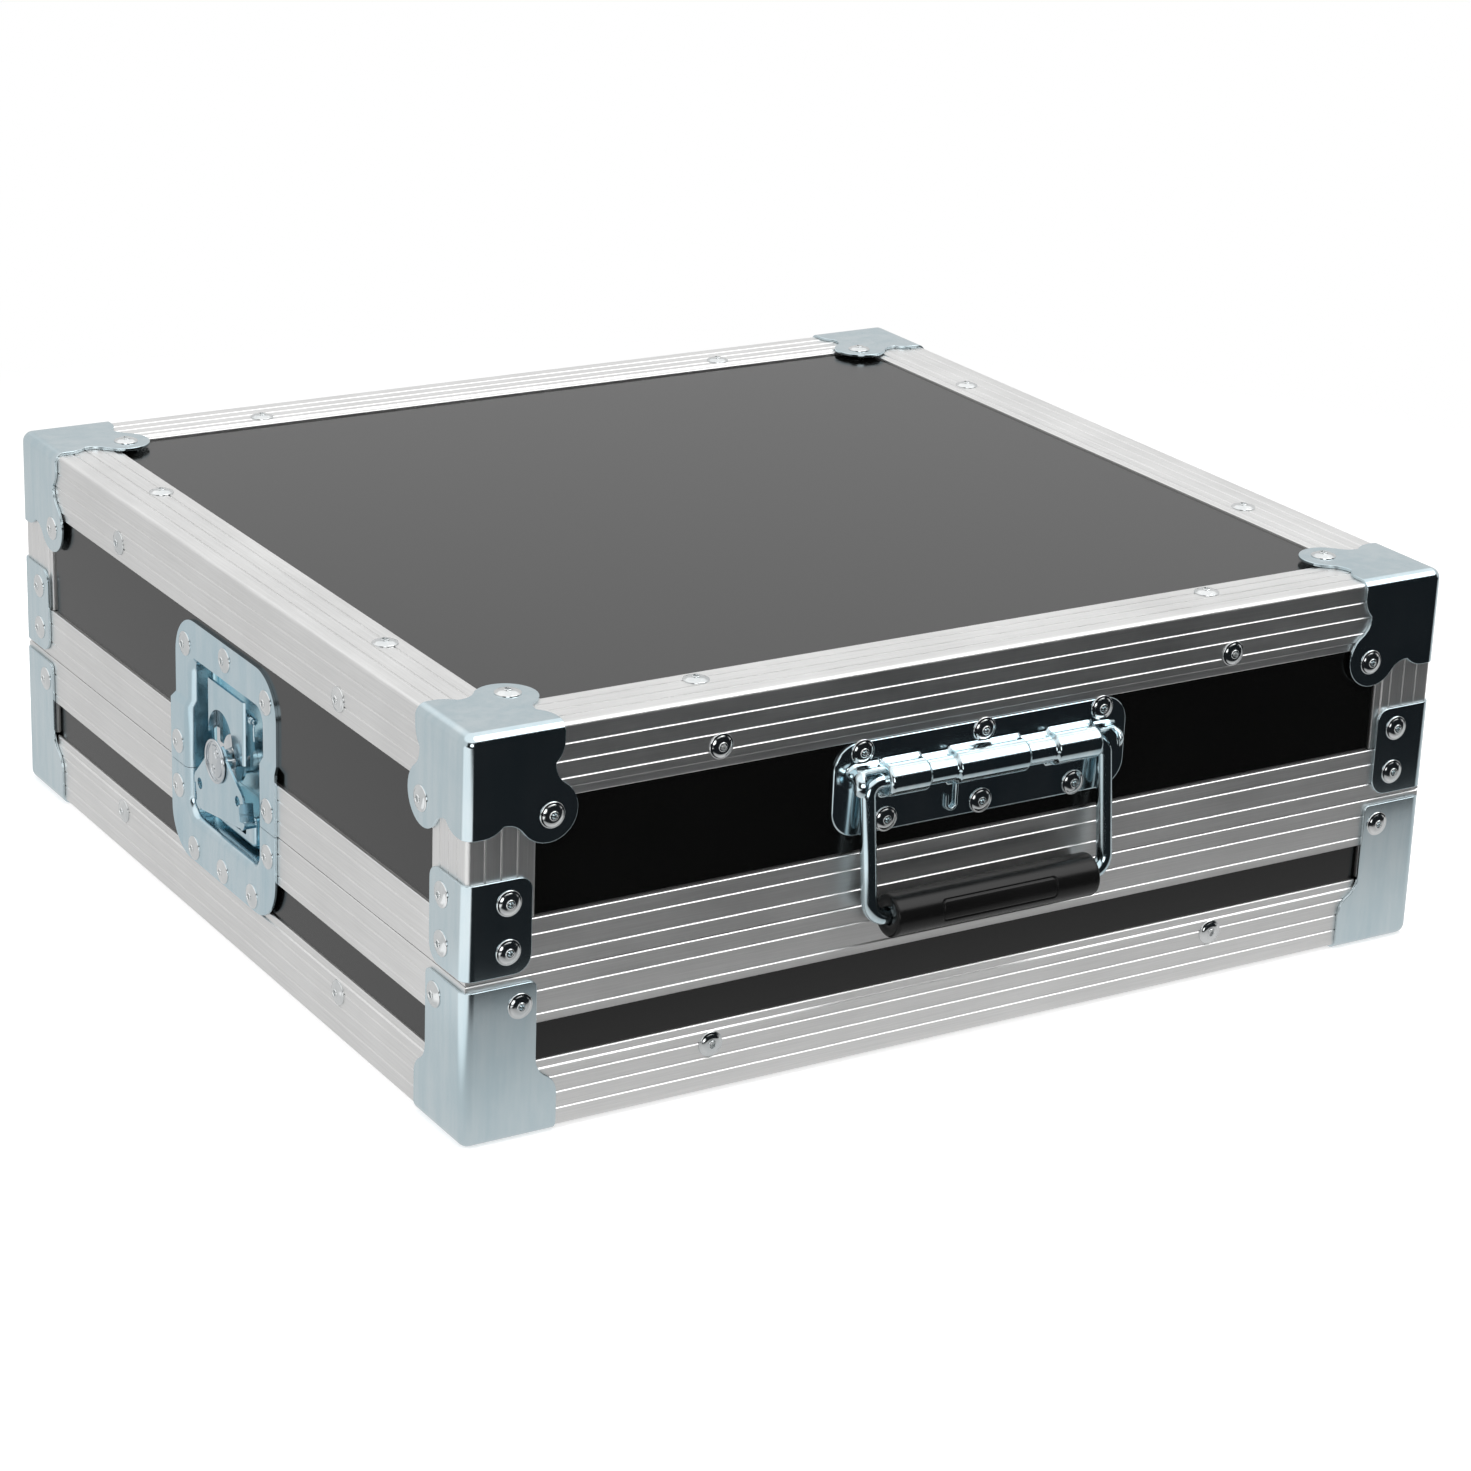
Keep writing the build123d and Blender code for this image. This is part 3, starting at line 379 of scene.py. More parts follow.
@dataclass(frozen=True)
class CellFoam(Finish):
    """Dark grey open-cell foam."""

    # Painted shade in the cells' hollows and painted light on their ridges.
    hollow: Colour = (0.016, 0.016, 0.017)
    lit_ridge: Colour = (0.05, 0.05, 0.052)

    def dress(self, bench: Bench) -> dict[str, Any]:
        """Small cells, with painted shade darkening their hollows and painted light on their ridges."""
        place = bench.coordinates()
        cells = bench.node("ShaderNodeTexVoronoi", None, {"Vector": place, "Scale": 700.0})["Distance"]
        cloud = bench.noise(place, 25.0, 3.0, 0.6)
        # Painted shade and light: the tone follows the cells' height and is darker where the bump is low.
        tone = cells.ramp(0.1, 0.7) * 0.7 + cloud * 0.3
        return {
            "Base Color": bench.mix_colour(tone, self.hollow, self.lit_ridge),
            "Roughness": 0.92 + cloud * 0.06,
            "Normal": bench.bump(cells, 0.0009, 0.8),
        }


ALUMINIUM = {
    Grain.ALONG_X: DrawnAluminium("aluminium_along_x", "aluminium", Grain.ALONG_X),
    Grain.ALONG_Y: DrawnAluminium("aluminium_along_y", "aluminium", Grain.ALONG_Y),
    Grain.ALONG_Z: DrawnAluminium("aluminium_along_z", "aluminium", Grain.ALONG_Z),
}
CAP_ZINC = ZincPlate("zinc_plate_caps", "zinc_steel")
# The latch's hollow colour is painted shade: a darker, bluer tint deeper in its pockets.
LATCH_ZINC = ZincPlate(
    "zinc_plate_latch", "zinc_steel", blue=(0.48, 0.63, 0.70), pale=(0.61, 0.72, 0.77),
    gloss=0.16, ripple=0.15, hollow=(0.42, 0.64, 0.72),
)
HANDLE_ZINC = ZincPlate(
    "zinc_plate_handle", "zinc_steel", blue=(0.52, 0.67, 0.73), pale=(0.72, 0.81, 0.84),
    gloss=0.09, ripple=0.15,
)
RIVET_ZINC = ZincPlate(
    "zinc_plate_rivets", "zinc_steel", blue=(0.62, 0.65, 0.66), pale=(0.80, 0.81, 0.81), gloss=0.09,
)
SPINDLE_ZINC = ZincPlate(
    "zinc_plate_spindle", "zinc_steel", blue=(0.52, 0.56, 0.59), pale=(0.74, 0.76, 0.77), gloss=0.15,
)
LAMINATE = Laminate("black_laminate", "laminate")
RUBBER = GripRubber("moulded_rubber", "grip_rubber")
FOAM = CellFoam("lining_foam", "foam")


# Places on the case


@dataclass(frozen=True)
class Place:
    """A flat place with its own axes: x to the right seen from outside, y up, z outwards."""

    origin: Vector
    x: Vector
    y: Vector
    z: Vector

    def at(self, x: float, y: float, z: float = 0.0) -> Vector:
        """World point of local millimetres."""
        return self.origin + (self.x * x + self.y * y + self.z * z) * MM


class CaseDatum:
    """Outer planes of the aluminium profiles, in metres, read from the CAD frame."""

    def __init__(self) -> None:
        """Reads the planes from the profiles' boxes."""
        rim_low, rim_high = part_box("base_left_rim_profile")
        front_low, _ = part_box("base_front_rim_profile")
        _, back_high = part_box("base_back_rim_profile")
        _, right_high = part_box("base_right_rim_profile")
        edge_low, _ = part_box("base_front_edge_profile")
        _, edge_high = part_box("lid_front_edge_profile")
        self.left, self.right = rim_low.x, right_high.x
        self.front, self.back = front_low.y, back_high.y
        self.bottom, self.seam, self.top = edge_low.z, rim_high.z, edge_high.z

    @property
    def height(self) -> float:
        """Height over the profiles in millimetres."""
        return (self.top - self.bottom) / MM

    @property
    def seam_height(self) -> float:
        """Height of the seam over the profiles' underside in millimetres."""
        return (self.seam - self.bottom) / MM

    @property
    def middle(self) -> float:
        """Y of the case's middle."""
        return (self.front + self.back) / 2

    def side(self, side: Side, height: float = 0.0) -> Place:
        """A side's place, in its middle and height millimetres above the profiles' underside.

        Args:
            side: which side.
            height: millimetres above the underside.

        Returns:
            The place on the side's outer plane.
        """
        up = Vector((0, 0, 1))
        z = self.bottom + height * MM
        spots = {
            Side.FRONT: (Vector((0, self.front, z)), Vector((1, 0, 0)), Vector((0, -1, 0))),
            Side.BACK: (Vector((0, self.back, z)), Vector((-1, 0, 0)), Vector((0, 1, 0))),
            Side.LEFT: (Vector((self.left, self.middle, z)), Vector((0, -1, 0)), Vector((-1, 0, 0))),
            Side.RIGHT: (Vector((self.right, self.middle, z)), Vector((0, 1, 0)), Vector((1, 0, 0))),
        }
        origin, x, out = spots[side]
        return Place(origin, x, up, out)

    def length(self, side: Side) -> float:
        """Length of a side in millimetres."""
        if side in (Side.FRONT, Side.BACK):
            return (self.right - self.left) / MM
        return (self.back - self.front) / MM

    def corner(self, corner: Corner, z: float) -> Vector:
        """World point of an upright corner at height z in metres."""
        sign_x, sign_y = corner.signs
        return Vector((self.right if sign_x > 0 else self.left, self.back if sign_y > 0 else self.front, z))


# Mesh making


def clamped(value: float) -> float:
    """A value held between 0 and 1."""
    return min(max(value, 0.0), 1.0)


def eased(share: float) -> float:
    """A share from 0 to 1 with a soft start and end."""
    return share * share * (3 - 2 * share)


def quarter(steps: int) -> list[float]:
    """Angles of a quarter turn in radians, both ends included."""
    return [math.pi / 2 * step / steps for step in range(steps + 1)]


class Shape:
    """Collects faces by their points and turns them into one piece."""

    def __init__(self) -> None:
        """Starts with nothing."""
        self.mesh = bmesh.new()

    def face(self, points: Iterable[Vector]) -> None:
        """Adds one face from world points."""
        self.mesh.faces.new([self.mesh.verts.new(point) for point in points])

    def strip(self, first: Sequence[Vector], second: Sequence[Vector], closed: bool = False) -> None:
        """Adds a band of quads between two rows of points.

        Args:
            first: one row.
            second: the other row, as long.
            closed: whether the rows close on themselves.
        """
        count = len(first)
        for index in range(count if closed else count - 1):
            after = (index + 1) % count
            self.face((first[index], first[after], second[after], second[index]))

    def skin(self, rows: Sequence[Sequence[Vector]], closed: bool = False) -> None:
        """Adds the bands between rows that follow each other."""
        for first, second in zip(rows, rows[1:]):
            self.strip(first, second, closed)

    def prism(self, section: Sequence[Vector], shifts: tuple[Sequence[Vector], Sequence[Vector]]) -> None:
        """Adds a closed prism over a section, whose ends are moved by their own shifts.

        Args:
            section: the closed section's points.
            shifts: for the start and for the end, one shift for each point.
        """
        start = [point + shift for point, shift in zip(section, shifts[0])]
        end = [point + shift for point, shift in zip(section, shifts[1])]
        self.strip(start, end, closed=True)
        self.face(start)
        self.face(list(reversed(end)))

    def turned(self, profile: Sequence[Point2], centre: Vector, axis: Vector, across: Vector,
               steps: int = 48) -> None:
        """Adds a turned form.

        Args:
            profile: radius and place along the axis, in millimetres, from end to end.
            centre: world point of the axis's zero.
            axis: unit direction of the axis.
            across: a unit direction square to it.
            steps: number of sides.
        """
        other = axis.cross(across)
        rings = []
        for radius, along in profile:
            ring = []
            for step in range(steps):
                angle = 2 * math.pi * step / steps
                spoke = across * math.cos(angle) + other * math.sin(angle)
                ring.append(centre + (spoke * radius + axis * along) * MM)
            rings.append(ring)
        self.skin(rings, closed=True)

    def fill(self, loops: Sequence[Sequence[Vector]], towards: Vector) -> None:
        """Fills a flat outline, less any holes, facing one way.

        Args:
            loops: the outline and then its holes, as world points.
            towards: direction that the faces look in.
        """
        edges = []
        for loop in loops:
            kept = [point for index, point in enumerate(loop) if (point - loop[index - 1]).length > TINY]
            row = [self.mesh.verts.new(point) for point in kept]
            edges += [self.mesh.edges.new(pair) for pair in zip(row, row[1:] + row[:1])]
        filled = bmesh.ops.triangle_fill(self.mesh, use_beauty=True, use_dissolve=False, edges=edges)
        faces = [item for item in filled["geom"] if isinstance(item, bmesh.types.BMFace)]
        outer = set(edges)
        inner = dict.fromkeys(edge for face in faces for edge in face.edges if edge not in outer)
        done = bmesh.ops.dissolve_limit(
            self.mesh, angle_limit=math.radians(1.0), use_dissolve_boundaries=False,
            verts=[], edges=list(inner),
        )
        along = [face for edge in edges for face in edge.link_faces]
        for face in dict.fromkeys([*along, *done["region"]]):
            if isinstance(face, bmesh.types.BMFace) and face.is_valid:
                face.normal_update()
                if face.normal.dot(towards) < 0:
                    face.normal_flip()

    def sheet(self, point: Placer, levels: Span,
              outline: Sequence[Point2], holes: Sequence[Sequence[Point2]] = ()) -> None:
        """Adds a closed flat sheet with holes.

        Args:
            point: world point of the sheet's own millimetres.
            levels: low and high face.
            outline: the outer outline.
            holes: outlines of the holes.
        """
        out = point(0, 0, 1) - point(0, 0, 0)
        for level, facing in zip(levels, (-out, out)):
            self.fill([[point(x, y, level) for x, y in loop] for loop in (outline, *holes)], facing)
        for loop in (outline, *holes):
            rows = [[point(x, y, level) for x, y in loop] for level in levels]
            self.strip(rows[0], rows[1], closed=True)

    def tube(self, path: Sequence[Vector], radius: float, sides: int = 20) -> None:
        """Adds a closed tube along a path.

        Args:
            path: world points.
            radius: millimetres.
            sides: number of sides.
        """
        rings = []
        direction = (path[1] - path[0]).normalized()
        across = direction.orthogonal().normalized()
        for index, point in enumerate(path):
            before = path[max(index - 1, 0)]
            after = path[min(index + 1, len(path) - 1)]
            direction = (after - before).normalized()
            across = (across - direction * across.dot(direction)).normalized()
            other = direction.cross(across)
            ring = []
            for side in range(sides):
                angle = 2 * math.pi * side / sides
                ring.append(point + (across * math.cos(angle) + other * math.sin(angle)) * radius * MM)
            rings.append(ring)
        self.skin(rings, closed=True)
        self.face(list(reversed(rings[0])))
        self.face(rings[-1])

    def copy_of(self, node: str, flat: float = 0.4) -> None:
        """Takes a merged copy of a CAD node, with its flat areas joined.

        Args:
            node: the CAD node's name.
            flat: degrees below which neighbouring faces are joined.
        """
        self.mesh.from_mesh(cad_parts[node].data)
        self.merge()
        bmesh.ops.dissolve_limit(
            self.mesh, angle_limit=math.radians(flat), use_dissolve_boundaries=False,
            verts=self.mesh.verts, edges=self.mesh.edges,
        )

    def merge(self) -> None:
        """Joins the points that lie on each other."""
        bmesh.ops.remove_doubles(self.mesh, verts=self.mesh.verts, dist=MERGE)

    def raw(self, name: str, recalculate: bool = True) -> bpy.types.Object:
        """Turns the mesh into an object at the origin, with nothing worked on it.

        Args:
            name: the object's name.
            recalculate: whether to turn the faces outwards.

        Returns:
            The object.
        """
        self.merge()
        if recalculate:
            bmesh.ops.recalc_face_normals(self.mesh, faces=self.mesh.faces)
        data = bpy.data.meshes.new(name)
        self.mesh.to_mesh(data)
        self.mesh.free()
        made = bpy.data.objects.new(name, data)
        bpy.context.scene.collection.objects.link(made)
        return made

    def piece(self, name: str, finish: Finish, angle: float = 30.0, bevel: float = 0.0, wall: float = 0.0,
              recalculate: bool = True, cuts: Sequence["Shape"] = ()) -> bpy.types.Object:
        """Finishes the mesh as an object at the origin.

        Args:
            name: the piece's name.
            finish: its finish.
            angle: degrees past which an edge stays sharp.
            bevel: width of a small rounding of sharp edges, in millimetres.
            wall: thickness given inwards to an open shell, in millimetres.
            recalculate: whether to turn the faces outwards.
            cuts: closed shapes taken out of it.

        Returns:
            The object.
        """
        made = self.raw(name, recalculate)
        if wall:
            solidify = made.modifiers.new("wall", "SOLIDIFY")
            solidify.thickness = wall * MM
            solidify.offset = -1
            solidify.use_even_offset = True
        cutters = [cut.raw("cutter") for cut in cuts]
        for cutter in cutters:
            carve = made.modifiers.new("carve", "BOOLEAN")
            carve.operation = "DIFFERENCE"
            carve.solver = "EXACT"
            carve.object = cutter
        if bevel:
            rounding = made.modifiers.new("rounding", "BEVEL")
            rounding.width = bevel * MM
            rounding.segments = 3
            rounding.limit_method = "ANGLE"
            rounding.angle_limit = math.radians(max(angle, 30.0))
            rounding.use_clamp_overlap = True
        if made.modifiers:
            settle(made)
        for cutter in cutters:
            bpy.data.objects.remove(cutter)
        shade(made, angle)
        if bevel:
            even = made.modifiers.new("even_normals", "WEIGHTED_NORMAL")
            even.keep_sharp = True
            even.weight = 100
            settle(made)
        made.data.materials.clear()
        made.data.materials.append(finish.material())
        return made


def settle(piece: bpy.types.Object) -> None:
    """Applies a piece's modifiers to its mesh."""
    bpy.context.view_layer.update()
    graph = bpy.context.evaluated_depsgraph_get()
    data = bpy.data.meshes.new_from_object(piece.evaluated_get(graph))
    data.name = piece.name
    old = piece.data
    piece.modifiers.clear()
    piece.data = data
    bpy.data.meshes.remove(old)


def shade(piece: bpy.types.Object, angle: float) -> None:
    """Shades a piece smooth, with edges past an angle left sharp."""
    piece.data.shade_smooth()
    piece.data.set_sharp_from_angle(angle=math.radians(angle))


def hand_over(piece: bpy.types.Object, body: str, finish: Finish, *nodes: str) -> bpy.types.Object:
    """Parents a finished piece to its body's empty, hides the CAD nodes that it stands for and logs them.

    Args:
        piece: the finished piece.
        body: the body that it rides on.
        finish: not used.
        nodes: the CAD nodes that it replaces.

    Returns:
        The piece.
    """
    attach(piece, body)
    if nodes:
        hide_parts(*nodes)
    log.info("%s rides on %s, for %s", piece.name, body, ", ".join(nodes) or "no node")
    return piece


def arc(centre: Point2, radius: float, start: float, end: float, steps: int) -> list[Point2]:
    """Points of an arc, both ends included.

    Args:
        centre: the arc's centre.
        radius: its radius.
        start: first angle in degrees.
        end: last angle in degrees.
        steps: number of steps.

    Returns:
        The points.
    """
    points = []
    for step in range(steps + 1):
        angle = math.radians(start + (end - start) * step / steps)
        points.append((centre[0] + radius * math.cos(angle), centre[1] + radius * math.sin(angle)))
    return points


def rounded_outline(corners: Sequence[Point3], steps: int = 8) -> list[Point2]:
    """Closed outline whose corners are rounded by tangent arcs.

    Args:
        corners: x, y and radius of each corner, 0 for a sharp one.
        steps: steps in each arc.

    Returns:
        The outline's points.
    """
    points: list[Point2] = []
    for index, (x, y, radius) in enumerate(corners):
        if radius == 0:
            points.append((x, y))
            continue
        here = Vector((x, y, 0.0))
        before = Vector((*corners[index - 1][:2], 0.0))
        after = Vector((*corners[(index + 1) % len(corners)][:2], 0.0))
        turn = rounded_path([before, here, after], (radius / MM,), steps)[1:-1]
        points += [(point.x, point.y) for point in turn]
    return points


def rounded_box(left: float, low: float, right: float, high: float, radius: float,
                steps: int) -> list[Point2]:
    """Outline of a rectangle with rounded corners."""
    corners = ((left, low, radius), (right, low, radius), (right, high, radius), (left, high, radius))
    return rounded_outline(corners, steps)


def circle(x: float, y: float, radius: float, steps: int = 32) -> list[Point2]:
    """A circle's points."""
    return arc((x, y), radius, 0.0, 360.0, steps)[:-1]


def rounded_path(corners: Sequence[Vector], radii: Sequence[float], steps: int = 8) -> list[Vector]:
    """A path whose inner corners are rounded by tangent arcs.

    Args:
        corners: world points.
        radii: millimetres for each inner corner.
        steps: steps in each arc.

    Returns:
        The path's points.
    """
    path = [corners[0]]
    for index, radius in enumerate(radii, start=1):
        here = corners[index]
        to_before = (corners[index - 1] - here).normalized()
        to_after = (corners[index + 1] - here).normalized()
        half = to_before.angle(to_after) / 2
        reach = radius * MM / math.tan(half)
        middle = (to_before + to_after).normalized()
        centre = here + middle * (radius * MM / math.sin(half))
        first = here + to_before * reach - centre
        last = here + to_after * reach - centre
        swing = first.angle(last)
        for step in range(steps + 1):
            share = step / steps
            mixed = first * math.sin((1 - share) * swing) + last * math.sin(share * swing)
            path.append(centre + mixed / math.sin(swing))
    path.append(corners[-1])
    return path


def circle_through(first: Point2, second: Point2, third: Point2) -> tuple[Point2, float]:
    """Centre and radius of the circle through three points."""
    (ax, ay), (bx, by), (cx, cy) = first, second, third
    scale = 2 * (ax * (by - cy) + bx * (cy - ay) + cx * (ay - by))
    a2, b2, c2 = ax * ax + ay * ay, bx * bx + by * by, cx * cx + cy * cy
    x = (a2 * (by - cy) + b2 * (cy - ay) + c2 * (ay - by)) / scale
    y = (a2 * (cx - bx) + b2 * (ax - cx) + c2 * (bx - ax)) / scale
    return (x, y), math.hypot(ax - x, ay - y)


def three_point_arc(first: Point2, second: Point2, third: Point2, steps: int) -> list[Point2]:
    """Arc from the first to the third point through the second.

    Args:
        first: start.
        second: a point on the way.
        third: end.
        steps: number of steps.

    Returns:
        The points, ends included.
    """
    centre, radius = circle_through(first, second, third)
    angles = [math.degrees(math.atan2(y - centre[1], x - centre[0])) for x, y in (first, second, third)]
    start, middle, end = angles
    span = (end - start) % 360.0
    if (middle - start) % 360.0 > span:
        span -= 360.0
    return arc(centre, radius, start, start + span, steps)


def tangent_arc(start: Point2, end: Point2, steps: int) -> list[Point2]:
    """Arc that leaves its start upright or straight down and reaches its end.

    Args:
        start: first point, where the arc is vertical.
        end: last point.
        steps: number of steps.

    Returns:
        The points, ends included.
    """
    dx, dy = end[0] - start[0], end[1] - start[1]
    radius = (dx * dx + dy * dy) / (2 * dx)
    centre = (start[0] + radius, start[1])
    first = 180.0 if radius > 0 else 0.0
    swing = math.degrees(math.atan2(abs(dy), abs(radius) - abs(dx)))
    sign = (-1 if dy > 0 else 1) * (1 if radius > 0 else -1)
    return arc(centre, abs(radius), first, first + sign * swing, steps)


# Profiles


@dataclass(frozen=True)
class GroovedProfiles:
    """The drawn aluminium: edge lengths, corner posts and the two closing rims."""

    datum: CaseDatum
    leg: float = 31.0
    wall: float = 1.8
    corner_radius: float = 2.0
    lip: float = 4.0
    lip_step: float = 0.7
    grooves: tuple[float, ...] = (8.3, 15.6, 22.9)
    groove_depth: float = 0.6
    groove_steep: float = 0.28
    groove_gentle: float = 0.64
    dish: float = 0.05
    end_gap: float = 32.0
    inner_wall: float = 1.5
    inner_height: float = 15.0
    shell: float = 11.3
    lid_grooves: tuple[float, ...] = (7.6, 17.3)
    base_grooves: tuple[float, ...] = (7.4, 17.7)
    lid_height: float = 24.0
    base_height: float = 22.0
    lid_web: float = 2.5
    base_web: float = 7.0
    tongue: Point3 = (5.0, 8.0, 4.0)
    tongue_play: float = 0.35
    latch_half: float = 42.0
    sharp: float = 22.0

    def band(self, start: float, end: float, grooves: Sequence[float], away: int) -> list[Point2]:
        """Outer face of a leg, as place and depth, with its grooves and slightly dished bands.

        Args:
            start: place where the face begins.
            end: place where it ends.
            grooves: places of the grooves.
            away: 1 where the steep flank is on the far side of a groove, else -1.

        Returns:
            The points from start to end.
        """
        steep, gentle = self.groove_steep, self.groove_gentle
        if away < 0:
            steep, gentle = gentle, steep
        points = [(start, 0.0)]
        here = start
        for place in grooves:
            near, far = place - gentle, place + steep
            points += [((here + near) / 2, self.dish), (near, 0.0), (place, self.groove_depth), (far, 0.0)]
            here = far
        points += [((here + end) / 2, self.dish), (end, 0.0)]
        return points

    def edge_section(self, gentle_towards_corner: tuple[int, int]) -> list[Point2]:
        """Closed section of an edge profile, as places along its two legs.

        Args:
            gentle_towards_corner: for each leg, 1 where the groove's gentle flank is nearer the corner.

        Returns:
            The section's points.
        """
        radius = self.corner_radius
        lip_start = self.leg - self.lip
        outline: list[Point2] = []
        for leg, away in enumerate(gentle_towards_corner):
            face = self.band(radius, lip_start, self.grooves, away)
            face += [(lip_start + 0.25, self.lip_step * 0.6), (lip_start + 0.5, self.lip_step)]
            face += [(self.leg - 0.4, self.lip_step), (self.leg, self.lip_step + 0.3)]
            face.append((self.leg, self.wall))
            if leg == 0:
                outline += list(reversed(face))
                outline += arc((radius, radius), radius, 270.0, 180.0, 6)[1:-1]
            else:
                outline += [(depth, place) for place, depth in face]
        outline.append((self.wall, self.wall))
        return outline

    def edge_length(self, shape: Shape, start: Vector, end: Vector, first: Vector, second: Vector,
                    gentle: tuple[int, int]) -> None:
        """Adds an edge profile between two outer corners, with its legs in two directions."""
        section = [(first * a + second * b) * MM for a, b in self.edge_section(gentle)]
        shape.prism(section, ([start] * len(section), [end] * len(section)))

    def build_edges(self) -> None:
        """Makes the lengths along the lid's top and the base's underside."""
        for side in Side:
            place = self.datum.side(side)
            half = self.datum.length(side) / 2 - self.end_gap
            finish = ALUMINIUM[Grain.of(side)]
            for part, level, up, gentle in (
                ("lid", self.datum.height, -1, (-1, 1)), ("base", 0.0, 1, (1, 1)),
            ):
                shape = Shape()
                ends = place.at(-half, level), place.at(half, level)
                self.edge_length(shape, *ends, Vector((0, 0, up)), -place.z, gentle)
                piece = shape.piece(f"{part}_{side.value}_edge_length", finish, self.sharp)
                hand_over(piece, part, finish, f"{part}_{side.value}_edge_profile")

    def build_posts(self) -> None:
        """Makes the short upright lengths at the corners."""
        for part in ("lid", "base"):
            shape = Shape()
            low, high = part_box(f"{part}_corner_profiles")
            for corner in Corner:
                sign_x, sign_y = corner.signs
                self.edge_length(
                    shape, self.datum.corner(corner, low.z), self.datum.corner(corner, high.z),
                    Vector((-sign_x, 0, 0)), Vector((0, -sign_y, 0)), (1, 1),
                )
            finish = ALUMINIUM[Grain.ALONG_Z]
            piece = shape.piece(f"{part}_corner_lengths", finish, self.sharp)
            hand_over(piece, part, finish, f"{part}_corner_profiles")

    def rim_section(self, part: str) -> list[Point2]:
        """Closed section of a closing profile, as depth and height away from the seam.

        Args:
            part: lid or base.

        Returns:
            The section's points.
        """
        inner, outer, reach = self.tongue
        if part == "lid":
            height, web, grooves, away, low = self.lid_height, self.lid_web, self.lid_grooves, 1, -reach
        else:
            height, web, grooves, away = self.base_height, self.base_web, self.base_grooves, -1
            play = self.tongue_play
            inner, outer, low = inner - play, outer + play, reach + play
        face = self.band(0.4, height - 0.3, grooves, away)
        outline = [(0.4, 0.0)] + [(depth, place) for place, depth in face]
        outline += [(0.3, height), (self.wall, height), (self.wall, web), (self.shell, web)]
        depth = self.shell + self.inner_wall
        outline += [(self.shell, self.inner_height), (depth - 0.3, self.inner_height)]
        outline += [(depth, self.inner_height - 0.3), (depth, 0.0)]
        outline += [(outer, 0.0), (outer, low), (inner, low), (inner, 0.0)]
        return outline

    def build_rims(self) -> None:
        """Makes the mitred closing profiles on both sides of the seam."""
        lid_low = (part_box("lid_front_rim_profile")[0].z - self.datum.bottom) / MM + self.tongue[2]
        for side in Side:
            place = self.datum.side(side)
            half = self.datum.length(side) / 2
            finish = ALUMINIUM[Grain.of(side)]
            for part, level, away in (("lid", lid_low, 1), ("base", self.datum.seam_height, -1)):
                outline = self.rim_section(part)
                section = [place.at(0, level + away * high, -deep) for deep, high in outline]
                mitre = [place.x * (half - deep) * MM for deep, _ in outline]
                shape = Shape()
                if side in (Side.LEFT, Side.RIGHT):
                    cut = [place.x * self.latch_half * MM] * len(section)
                    shape.prism(section, ([-shift for shift in mitre], [-shift for shift in cut]))
                    shape.prism(section, (cut, mitre))
                else:
                    shape.prism(section, ([-shift for shift in mitre], mitre))
                piece = shape.piece(f"{part}_{side.value}_rim_length", finish, self.sharp)
                hand_over(piece, part, finish, f"{part}_{side.value}_rim_profile")

    def build(self) -> None:
        """Makes every profile."""
        self.build_edges()
        self.build_posts()
        self.build_rims()


# Corner steel


